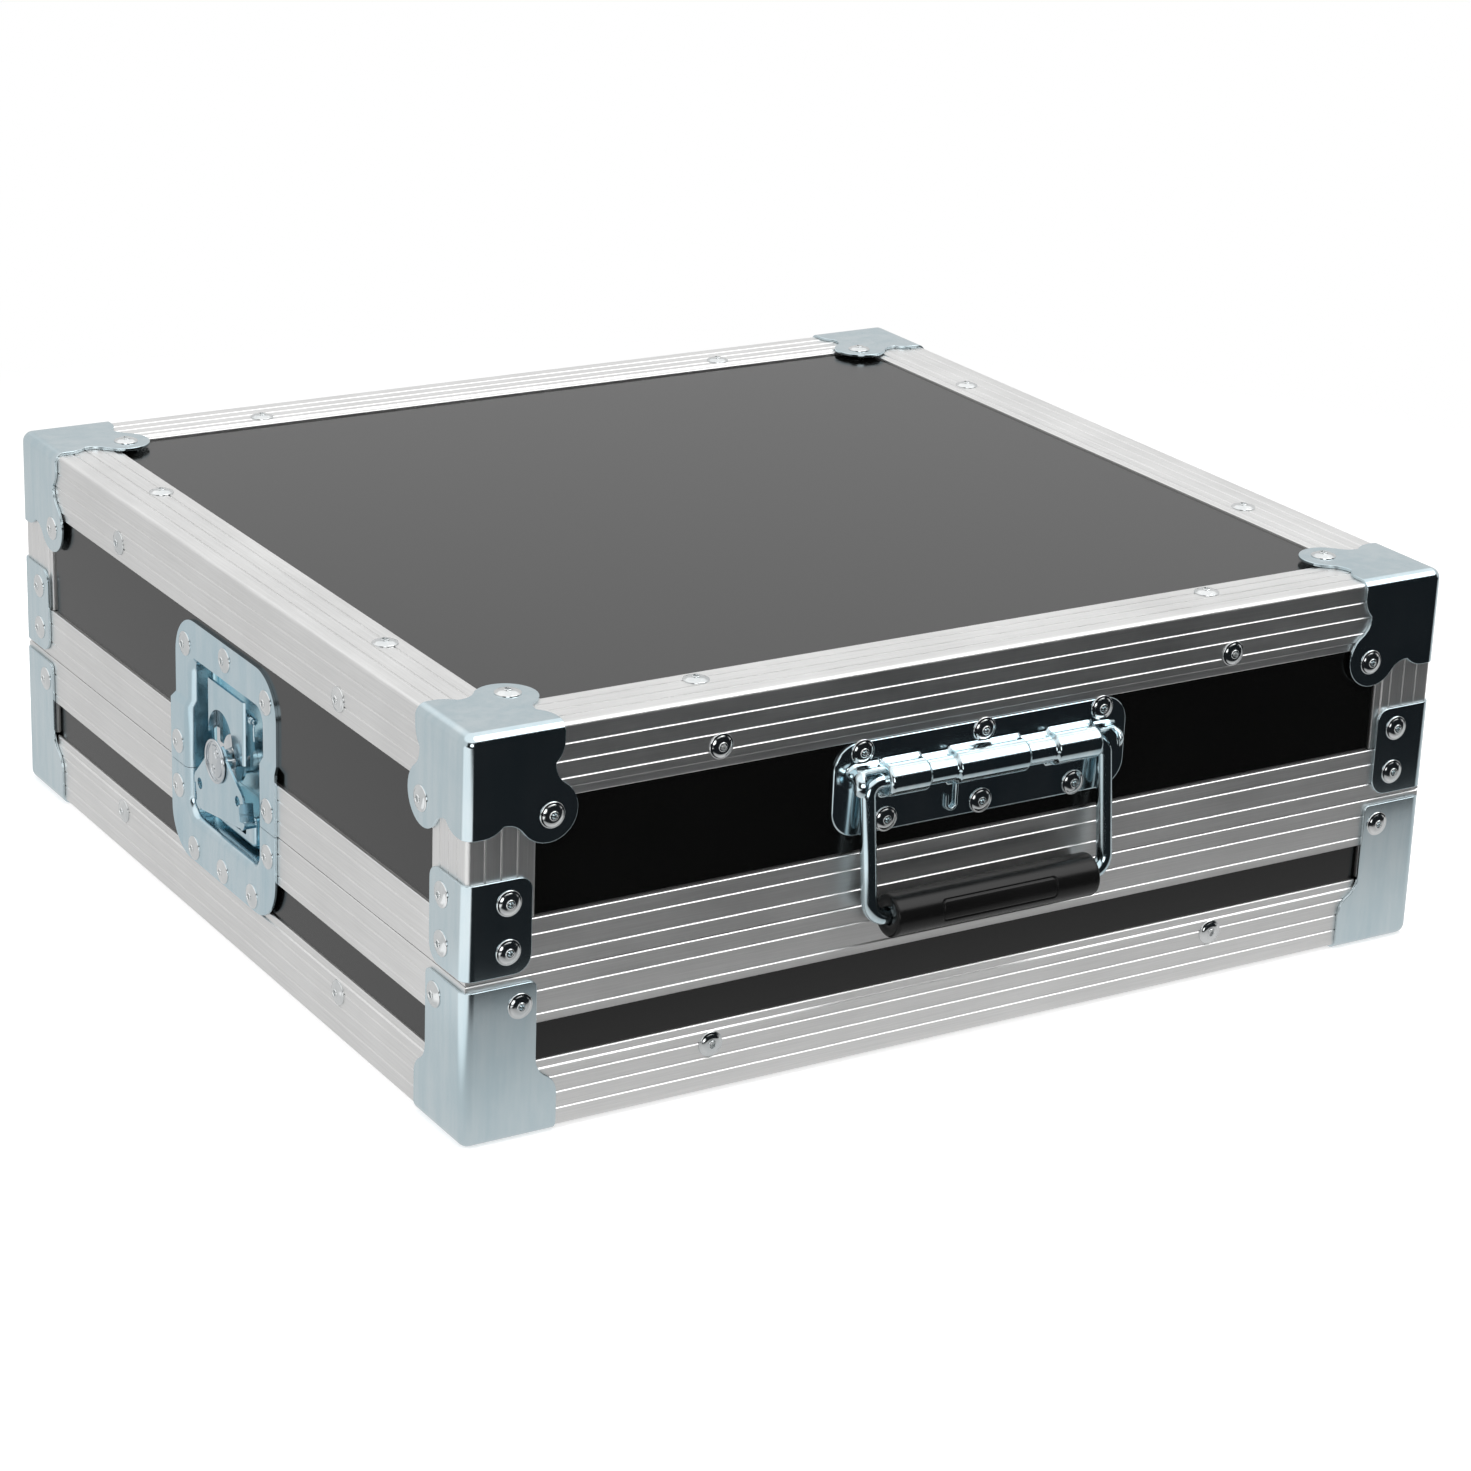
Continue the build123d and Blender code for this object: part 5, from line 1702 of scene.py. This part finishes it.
    def fold(self, shape: Shape, point: Placer, line: tuple[Point2, Point2],
             out: Point2, depth: float) -> None:
        """Adds an edge that is folded back from the hasp's face.

        Args:
            shape: where it is added.
            point: world point of the hasp's own millimetres.
            line: ends of the fold's inner line.
            out: flat direction out of the outline.
            depth: how far the edge reaches back from the face.
        """
        radius = self.fold_round
        bends = [(radius * math.sin(turn), radius * (1 - math.cos(turn))) for turn in quarter(6)]
        bends.append((radius, depth))
        rows = [
            [point(x + reach * out[0], y + reach * out[1], self.hasp_face - drop) for x, y in line]
            for reach, drop in bends
        ]
        (ax, ay), (bx, by) = line
        turned = (bx - ax) * out[1] - (by - ay) * out[0] < 0
        for near, far in zip(rows, rows[1:]):
            shape.strip(*((far, near) if turned else (near, far)))

    def build_hasp(self) -> None:
        """Makes the hasp: a forked yoke round the neck, two holes, folded edges and a small tab."""
        lean = math.radians(self.hasp_lean)

        def point(x: float, y: float, z: float) -> Vector:
            """World point of the leaning hasp's own millimetres, which hangs a little to one side."""
            share = clamped((-y - 5.2) / 5.0)
            drift_x, drift_y = self.hasp_drift
            return self.frame.at(
                x * math.cos(lean) - y * math.sin(lean) + drift_x * share,
                x * math.sin(lean) + y * math.cos(lean) + drift_y * share, z,
            )

        shape = Shape()
        yoke, slot, turn = self.yoke, self.yoke_slot, self.hasp_lean
        rise = math.degrees(math.asin(self.hasp_shoulder[1] / yoke))
        fork = math.degrees(math.acos(slot / yoke))
        half, foot, corner, fold_top = self.hasp_half, self.hasp_foot, self.hasp_corner, self.fold_top
        inner, low = half - corner, foot + corner
        fold_x, fold_y = half - self.fold_round, foot + self.fold_round
        right = [(inner, fold_y), (inner, foot)] + arc((inner, low), corner, 270.0, 360.0, 6)
        right += [(fold_x, low), (fold_x, fold_top), (half, fold_top)]
        hip = [(half, fold_top - 5.0, 0), (*self.hasp_hip, corner), (*self.hasp_shoulder, 0)]
        right += rounded_outline(hip, 6)[1:-1]
        outline = right + arc((0.0, 0.0), yoke, rise, fork - turn, 10)
        outline += arc((0.0, 0.0), slot, -turn, -180.0 - turn, 24)
        outline += arc((0.0, 0.0), yoke, 180.0 - fork - turn, 180.0 - rise, 10)
        outline += [(-x, y) for x, y in reversed(right)]
        hole_x, hole_y, hole = self.hasp_hole
        holes = [circle(hole_x, hole_y, hole, 28), circle(-hole_x, hole_y, hole, 28)]
        face = self.hasp_face
        shape.fill([[point(x, y, face) for x, y in loop] for loop in (outline, *holes)], self.frame.z)
        self.fold(shape, point, ((-inner, fold_y), (inner, fold_y)), (0.0, -1.0), self.foot_fold)
        for x, out in ((fold_x, 1.0), (-fold_x, -1.0)):
            self.fold(shape, point, ((x, low), (x, fold_top)), (out, 0.0), self.side_fold)
        tab = ((-23.0, 2.0), (-15.0, 2.0), (-15.0, 4.9), (-15.8, 5.6), (-22.2, 5.6), (-23.0, 4.9))
        shape.fill([[point(half, y, z) for y, z in tab]], point(1, 0, 0) - point(0, 0, 0))
        side = self.side.value
        piece = shape.piece(
            f"{side}_latch_hasp", LATCH_ZINC, angle=32.0, bevel=0.25, wall=self.sheet, recalculate=False,
        )
        hand_over(piece, f"{side}_hasp", LATCH_ZINC, f"{side}_hasp")

    def build_pin(self) -> None:
        """Makes the wing's pin and the spring wound round its end."""
        at, across = self.frame.at, self.frame.x
        height, depth = self.pin_place
        side = self.side.value
        start, end, radius, blunt = *self.pin_span, self.pin_radius, 0.3
        pin = Shape()
        pin.turned([
            (0.0, start), (radius - blunt, start), (radius, start + blunt),
            (radius, end - blunt), (radius - blunt, end), (0.0, end),
        ], at(0, height, depth), across, self.frame.z, 24)
        piece = pin.piece(f"{side}_latch_pin", LATCH_ZINC, angle=32.0)
        hand_over(piece, f"{side}_spindle", LATCH_ZINC, f"{side}_wing_pin")
        path = []
        around, radius = 20, self.spring_radius
        for step in range(int(self.spring_turns * around) + 1):
            angle = 2 * math.pi * step / around + math.pi / 2
            along = self.spring_start + self.spring_pitch * step / around
            path.append(at(along, height + radius * math.sin(angle), depth + radius * math.cos(angle)))
        last = path[-1]
        path += [last + (self.frame.y * -1.5 + self.frame.z * 0.3) * MM, last + self.frame.y * -7.5 * MM]
        spring = Shape()
        spring.tube(path, self.spring_wire, 12)
        piece = spring.piece(f"{side}_latch_spring", LATCH_ZINC, angle=50.0)
        hand_over(piece, f"{side}_spindle", LATCH_ZINC, f"{side}_wing_spring")

    def build(self) -> None:
        """Makes every piece of the latch."""
        self.build_dishes()
        self.build_spindle()
        self.build_wing()
        self.build_hasp()
        self.build_pin()


# Handle


@dataclass(frozen=True)
class BailHandle:
    """Mounting plate with its barrels, bail, grip and spring, on the lid's front."""

    datum: CaseDatum
    axis_height: float = 126.5
    axis_out: float = 3.3
    wire: float = 3.5
    half_width: float = 60.5
    stub: float = 21.0
    bend_high: float = 6.0
    bend_low: float = 8.0
    grip_height: float = 68.0
    grip_radius: float = 9.6
    grip_gap: float = 0.5
    grip_half: float = 52.0
    label_half: float = 29.0
    label_tall: float = 4.6
    label_deep: float = 0.5
    label_line: float = 0.55
    label_lift: float = 8.0
    label_corner: float = 1.6
    plate_half: float = 74.6
    plate_span: Span = (102.0, 143.7)
    plate_corner: float = 12.0
    plate_face: float = -0.5
    plate_back: float = -1.8
    rooted: float = -1.4
    border: float = 0.9
    barrel_ends: Span = (-52.5, 56.0)
    hump_edges: Span = (18.0, 32.4)
    hump: float = 7.2
    neck: float = 5.6
    end_round: float = 2.2
    flare: float = 2.6
    tab_wall: float = 1.2
    tab_sizes: Span = (6.9, 5.8)
    tab_over: float = 66.0
    tab_down: float = -38.0
    tab_gap: float = 0.8
    tab_flat: float = 62.0
    tab_knee: float = 63.6
    bore_play: float = 0.12
    coils: int = 18
    coil_wire: float = 0.6
    tail_wire: float = 0.8
    tail_out: float = 0.45
    coil_half: float = 16.3
    coil_radius: float = 4.25
    tail_places: Span = (-13.2, -17.9)
    tail_levels: Span = (106.4, 113.0)

    def barrel_radius(self, x: float) -> float:
        """Radius of the pressed barrel at a place along it: humps, necks and rounded ends."""
        inner, outer = self.hump_edges
        middle, ends = (eased(clamped(over / 2.0 + 0.5)) for over in (inner - abs(x), abs(x) - outer))
        share = max(middle, ends)
        left, right = self.barrel_ends
        over = max(x - right + self.end_round, left - x + self.end_round, 0.0) / self.end_round
        drop = self.end_round * (1.0 - math.sqrt(max(1.0 - over * over, 0.0)))
        return self.neck + (self.hump - self.neck) * share - drop

    def foot(self, radius: float) -> list[Point2]:
        """The flare from the plate up to a pressed form, as height from its axis and level."""
        reach, level = radius + self.flare, self.plate_face - 0.05
        flare = arc((reach, level + self.flare), self.flare, 270.0, 180.0, 7)
        return [(reach, self.rooted), (reach, level), *flare[1:]]

    def barrel(self, shape: Shape) -> None:
        """Adds the barrel: a flared, humped cover over the bail's pivots, bored right through.

        Args:
            shape: where it is added.
        """
        at, out = self.datum.side(Side.FRONT).at, self.axis_out
        spots: set[float] = set()
        for sign, end in zip((-1, 1), self.barrel_ends):
            for middle in self.hump_edges:
                spots |= {sign * middle + 0.24 * step for step in range(-5, 6)}
            spots |= {end - sign * self.end_round * (1.0 - math.sin(turn)) for turn in quarter(8)}
        outer, inner = [], []
        for x in sorted(spots):
            radius = self.barrel_radius(x)
            half = self.foot(radius) + arc((0.0, out), radius, 0.0, 90.0, 14)
            section = half + [(-h, z) for h, z in reversed(half[:-1])]
            outer.append([at(x, self.axis_height + h, z) for h, z in section])
            bore = []
            for h, z in section:
                size = (self.wire + self.bore_play) / math.hypot(h, z - out)
                bore.append(at(x, self.axis_height + h * size, out + (z - out) * size))
            inner.append(bore)
        for rows in (outer, inner):
            shape.skin(rows, closed=True)
        for index in (0, -1):
            shape.strip(outer[index], inner[index], closed=True)

    def stop_tab(self, shape: Shape, sign: int) -> None:
        """Adds the hood that is curled over the bail's knee and down outside its leg.

        Args:
            shape: where it is added.
            sign: -1 at the left, 1 at the right.
        """
        place = self.datum.side(Side.FRONT)
        left = sign < 0
        start = abs(self.barrel_ends[0 if left else 1]) + self.tab_gap
        size, flat, knee = self.tab_sizes[0 if left else 1], self.tab_flat, self.tab_knee
        columns = [(start, size - 0.1), ((start + flat) / 2, size), (flat, size), (knee, size - 0.1)]
        for turn in quarter(8)[1:]:
            columns.append((knee + 5.0 * math.sin(turn), 2.9 + (size - 3.0) * math.cos(turn)))
        skins = []
        for thick in (0.0, self.tab_wall):
            rows = []
            for x, radius in columns:
                share = eased(clamped((x - knee - 0.4) / 1.6))
                end = self.tab_over + (self.tab_down - self.tab_over) * share
                foot = self.foot(radius)
                if thick:
                    foot = [(radius - thick, z) for _, z in foot]
                section = foot + arc((0.0, self.axis_out), radius - thick, 0.0, 90.0 - end, 20)
                reach = sign * (x - 0.3 * thick)
                rows.append([place.at(reach, self.axis_height + h, z) for h, z in section])
            skins.append(rows)
            shape.skin(rows)
        outer, inner = skins
        for index in (0, -1):
            shape.strip(outer[index], inner[index])
        for index in (0, -1):
            shape.strip([row[index] for row in outer], [row[index] for row in inner])

    def build_plate(self) -> None:
        """Makes the pressed plate with its barrel and its two stop tabs."""
        place = self.datum.side(Side.FRONT)
        half, (low, high), corner = self.plate_half, self.plate_span, self.plate_corner
        shape = Shape()
        levels = [(0.0, self.plate_back)]
        for turn in quarter(6):
            inset, drop = self.border * (1 - math.cos(turn)), self.border * (1 - math.sin(turn))
            levels.append((inset, self.plate_face - drop))
        rows = []
        for inset, level in levels:
            side = half - inset
            outline = rounded_box(-side, low + inset, side, high - inset, corner - inset, 12)
            rows.append([place.at(x, y, level) for x, y in outline])
        shape.skin(rows, closed=True)
        shape.fill([rows[0]], -place.z)
        shape.fill([rows[-1]], place.z)
        self.barrel(shape)
        for sign in (-1, 1):
            self.stop_tab(shape, sign)
        piece = shape.piece("handle_plate_pressed", HANDLE_ZINC, angle=32.0, bevel=0.5)
        hand_over(piece, "lid", HANDLE_ZINC, "handle_plate")

    def build_spring(self) -> None:
        """Makes the wound spring in the barrel and its hooked tail on the plate."""
        at, height, radius = self.datum.side(Side.FRONT).at, self.axis_height, self.coil_radius
        shape = Shape()
        coil = []
        steps = self.coils * 20
        for step in range(steps + 1):
            angle = 2 * math.pi * step / 20
            x = -self.coil_half + 2 * self.coil_half * step / steps
            coil.append(at(x, height + radius * math.sin(angle), self.axis_out + radius * math.cos(angle)))
        shape.tube(coil, self.coil_wire, 10)
        near, far = self.tail_places
        low, end = self.tail_levels
        bend, out = (near - far) / 2, self.tail_out
        tail = [at(near, height - 1.0, self.plate_face), at(near, height - 7.0, out)]
        turn = arc(((near + far) / 2, low + bend), bend, 0.0, -180.0, 14)
        tail += [at(x, y, out) for x, y in turn] + [at(far, end, out)]
        shape.tube(tail, self.tail_wire, 14)
        piece = shape.piece("handle_spring_wound", HANDLE_ZINC, angle=50.0)
        hand_over(piece, "lid", HANDLE_ZINC, "handle_spring")

    def build_bail(self) -> None:
        """Makes the bent wire."""
        at, lean = self.datum.side(Side.FRONT).at, self.grip_radius + self.grip_gap
        half = [(x, self.axis_height, self.axis_out) for x in (self.stub, self.half_width)]
        half.append((self.half_width, self.grip_height, lean))
        corners = [at(-x, y, z) for x, y, z in half] + [at(x, y, z) for x, y, z in reversed(half)]
        radii = (self.bend_high, self.bend_low, self.bend_low, self.bend_high)
        shape = Shape()
        shape.tube(rounded_path(corners, radii, 12), self.wire, 32)
        piece = shape.piece("handle_wire", HANDLE_ZINC, angle=40.0)
        hand_over(piece, "handle", HANDLE_ZINC, "handle_bail")

    def label_depth(self, along: float, height: float) -> float:
        """How deep the fine groove round the bare label field is at a point of the grip's skin.

        Args:
            along: millimetres from the grip's middle.
            height: millimetres round the skin from the field's middle.

        Returns:
            The depth in millimetres.
        """
        corner = self.label_corner
        dx = max(abs(along) - self.label_half + corner, 0.0)
        dy = max(abs(height) - self.label_tall + corner, 0.0)
        inside = corner - math.hypot(dx, dy)
        return self.label_deep * eased(clamped(1.0 - abs(inside) / self.label_line))

    def build_grip(self) -> None:
        """Makes the moulded grip with its bare label field."""
        place = self.datum.side(Side.FRONT)
        skin, end, wire = self.grip_radius, self.grip_half, self.wire
        out, sides = skin + self.grip_gap, 168
        cap = [(wire + 0.05, 1.2 - end), (wire + 0.7, 0.3 - end), (wire + 1.2, -end), (skin - 1.3, -end)]
        cap += [(skin - 0.6, 0.2 - end), (skin - 0.2, 0.6 - end), (skin, 1.3 - end)]
        rows = list(cap)
        along = 2.0 - end
        while along < end - 1.9:
            rows.append((skin, along))
            near_label_end = abs(abs(along) - self.label_half) < 3.0
            along += 0.2 if near_label_end else 1.6
        rows += [(radius, -spot) for radius, spot in reversed(cap)]
        shape = Shape()
        rings = []
        for radius, spot in rows:
            ring = []
            for side in range(sides):
                angle = 2 * math.pi * side / sides
                turn = (math.degrees(angle) - self.label_lift + 180.0) % 360.0 - 180.0
                depth = self.label_depth(spot, math.radians(turn) * skin) if radius == skin else 0.0
                size = radius - depth
                up, ahead = size * math.sin(angle), size * math.cos(angle)
                ring.append(place.at(spot, self.grip_height + up, out + ahead))
            rings.append(ring)
        shape.skin(rings, closed=True)
        shape.strip(rings[-1], rings[0], closed=True)
        piece = shape.piece("handle_moulded_grip", RUBBER, angle=50.0)
        hand_over(piece, "handle", RUBBER, "handle_grip")

    def build(self) -> None:
        """Makes the whole handle."""
        self.build_plate()
        self.build_spring()
        self.build_bail()
        self.build_grip()


# Foam and panels


@dataclass(frozen=True)
class Lining:
    """Foam trays in the base and the lid."""

    soft_edge: float = 1.6

    def build(self) -> None:
        """Makes both trays, with softened edges."""
        for part in ("base", "lid"):
            shape = Shape()
            shape.copy_of(f"{part}_foam")
            piece = shape.piece(f"{part}_foam_tray", FOAM, angle=60.0, bevel=self.soft_edge)
            hand_over(piece, part, FOAM, f"{part}_foam")


@dataclass(frozen=True)
class Panels:
    """The laminated panels, which keep their CAD form."""

    def build(self) -> None:
        """Gives every panel its laminate."""
        for name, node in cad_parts.items():
            if name.endswith("_panel"):
                node.data.materials.clear()
                node.data.materials.append(LAMINATE.material())
                log.info("%s keeps its CAD form", name)


# Stage


def grey(tone: float) -> Colour:
    """A grey, or past 1 a bright patch."""
    return (tone, tone, tone)


@dataclass(frozen=True)
class Studio:
    """Camera, floor, world and lamps."""

    datum: CaseDatum
    eye: Point3 = (-907.96, -1480.05, 717.13)
    right: Point3 = (0.85510, -0.51722, 0.03592)
    down: Point3 = (-0.15384, -0.31928, -0.93509)
    forward: Point3 = (0.49511, 0.79407, -0.35258)
    lens: float = 96.15
    floor_half: float = 6.0
    white_reach: float = 0.130
    white_edge: float = 0.02
    fade: Span = (0.42, 0.95)
    lift: float = 0.45
    unlit: Colour = (0.008, 0.010, 0.012)
    unlit_wall: Colour = (0.008, 0.011, 0.013)
    softbox: Point3 = (0.449, -0.400, 0.799)
    window: Point3 = (-0.450, -0.880, 0.152)

    def camera(self) -> None:
        """Makes the camera at the photograph's place."""
        data = bpy.data.cameras.new("camera")
        data.lens = self.lens
        data.sensor_width = 36.0
        data.clip_end = 50.0
        made = bpy.data.objects.new("camera", data)
        bpy.context.scene.collection.objects.link(made)
        up, back = ([-value for value in axis] for axis in (self.down, self.forward))
        turn = Matrix((self.right, up, back)).transposed()
        made.matrix_world = Matrix.Translation(Vector(self.eye) * MM) @ turn.to_4x4()
        bpy.context.scene.camera = made

    def floor(self) -> None:
        """Makes the pale floor; metal sees it dark beyond a strip in front and bright at the left."""
        half = self.floor_half
        shape = Shape()
        corners = ((-half, -half), (half, -half), (half, half), (-half, half))
        shape.face([Vector((x, y, 0.0)) for x, y in corners])
        data = bpy.data.materials.new("floor_pale")
        data.use_nodes = True
        bench = Bench(data.node_tree)
        place = bench.node("ShaderNodeTexCoord")["Object"]
        axes = bench.node("ShaderNodeSeparateXYZ", None, {"Vector": place})
        x, y = axes["X"], axes["Y"]
        path = bench.node("ShaderNodeLightPath")
        mirrored = path["Is Glossy Ray"] + path["Is Transmission Ray"]
        distance = bench.node("ShaderNodeVectorMath", {"operation": "LENGTH"}, {0: place})["Value"]
        far = distance.ramp(*self.fade) * path["Is Camera Ray"]
        pale = bench.node("ShaderNodeBsdfDiffuse", None, {"Color": (*grey(0.80), 1.0)})["BSDF"]
        lift = bench.node("ShaderNodeEmission", None, {"Strength": self.lift})["Emission"]
        near = bench.node("ShaderNodeAddShader", None, {0: pale, 1: lift})["Shader"]
        white = bench.node("ShaderNodeEmission", None, {"Strength": 1.0})["Emission"]
        shown = bench.node("ShaderNodeMixShader", None, {0: far, 1: near, 2: white})["Shader"]
        edge = self.datum.front - self.white_reach
        strip = bench.mix_colour(y.ramp(self.datum.front, edge), grey(0.72), grey(0.44))
        ahead = y.ramp(edge + self.white_edge, edge - self.white_edge)
        dim = bench.mix_colour(ahead, strip, self.unlit)
        left = x.ramp(-0.29, -0.35) * y.ramp(-0.03, -0.12) * y.ramp(-0.66, -0.54)
        colour = bench.mix_colour(left, dim, grey(1.15))
        seen = bench.node("ShaderNodeEmission", None, {"Color": colour, "Strength": 1.0})["Emission"]
        mixed = bench.node("ShaderNodeMixShader", None, {0: mirrored, 1: shown, 2: seen})["Shader"]
        bench.node("ShaderNodeOutputMaterial", None, {"Surface": mixed})
        made = shape.piece("floor", LAMINATE)
        made.data.materials.clear()
        made.data.materials.append(data)
        made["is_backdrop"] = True

    def world(self) -> None:
        """Makes a pale room that metal sees dark towards the front, with a bright ceiling."""
        world = bpy.data.worlds.new("room")
        bpy.context.scene.world = world
        world.use_nodes = True
        bench = Bench(world.node_tree)
        place = bench.node("ShaderNodeTexCoord")["Generated"]
        axes = bench.node("ShaderNodeSeparateXYZ", None, {"Vector": place})
        path = bench.node("ShaderNodeLightPath")
        mirrored = path["Is Glossy Ray"] + path["Is Transmission Ray"]
        ahead = axes["Y"].ramp(-0.20, -0.45) * axes["Z"].ramp(0.60, 0.45)
        ceiling = bench.mix_colour(axes["Z"].ramp(0.40, 0.64), grey(0.74), grey(1.20))
        seen = bench.mix_colour(ahead, ceiling, self.unlit_wall)
        for aim, low, high, tone in ((self.softbox, 0.90, 0.945, 3.2), (self.window, 0.955, 0.975, 2.4)):
            facing = bench.node("ShaderNodeVectorMath", {"operation": "DOT_PRODUCT"}, {0: place, 1: aim})
            seen = bench.mix_colour(facing["Value"].ramp(low, high), seen, grey(tone))
        plain = bench.mix_colour(path["Is Camera Ray"], grey(0.62), grey(1.0))
        colour = bench.mix_colour(mirrored, plain, seen)
        shown = bench.node("ShaderNodeBackground", None, {"Color": colour, "Strength": 1.0})["Background"]
        bench.node("ShaderNodeOutputWorld", None, {"Surface": shown})

    def lamp(self, name: str, spot: Point3, target: Point3,
             size: Span, power: float) -> None:
        """Adds one soft lamp.

        Args:
            name: the lamp's name.
            spot: where it hangs, in metres.
            target: the point that it faces.
            size: its width and height in metres.
            power: watts.
        """
        data = bpy.data.lights.new(name, "AREA")
        data.shape = "RECTANGLE"
        data.size, data.size_y = size
        data.energy = power
        made = bpy.data.objects.new(name, data)
        made.visible_glossy = False
        bpy.context.scene.collection.objects.link(made)
        made.location = spot
        made.rotation_euler = (Vector(target) - Vector(spot)).to_track_quat("-Z", "Y").to_euler()

    def build(self) -> None:
        """Makes the whole stage."""
        self.camera()
        self.floor()
        self.world()
        self.lamp("lamp_over", (0.2, -0.2, 1.9), (0.0, 0.0, 0.1), (1.6, 1.2), 26.0)
        self.lamp("lamp_left", (-1.9, -0.4, 1.3), (0.0, 0.0, 0.1), (1.2, 1.0), 14.0)
        self.lamp("lamp_front", (0.6, -1.9, 1.6), (0.0, -0.2, 0.1), (1.0, 0.5), 8.0)
        bpy.context.scene.view_settings.view_transform = "Standard"


def main() -> None:
    """Builds every sub-assembly and the stage."""
    logging.basicConfig(level=logging.INFO, format="%(name)s: %(message)s")
    datum = CaseDatum()
    Studio(datum).build()
    Panels().build()
    GroovedProfiles(datum).build()
    CornerSteel(datum).build()
    RivetSet(datum).build()
    for side in (Side.LEFT, Side.RIGHT):
        TurnLatch(datum, side).build()
    BailHandle(datum).build()
    Lining().build()
    boxes = {"cad": case_bounds, "visual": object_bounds()}
    sizes = {name: [list(corner) for corner in box] for name, box in boxes.items()}


if __name__ == "__main__":
    main()
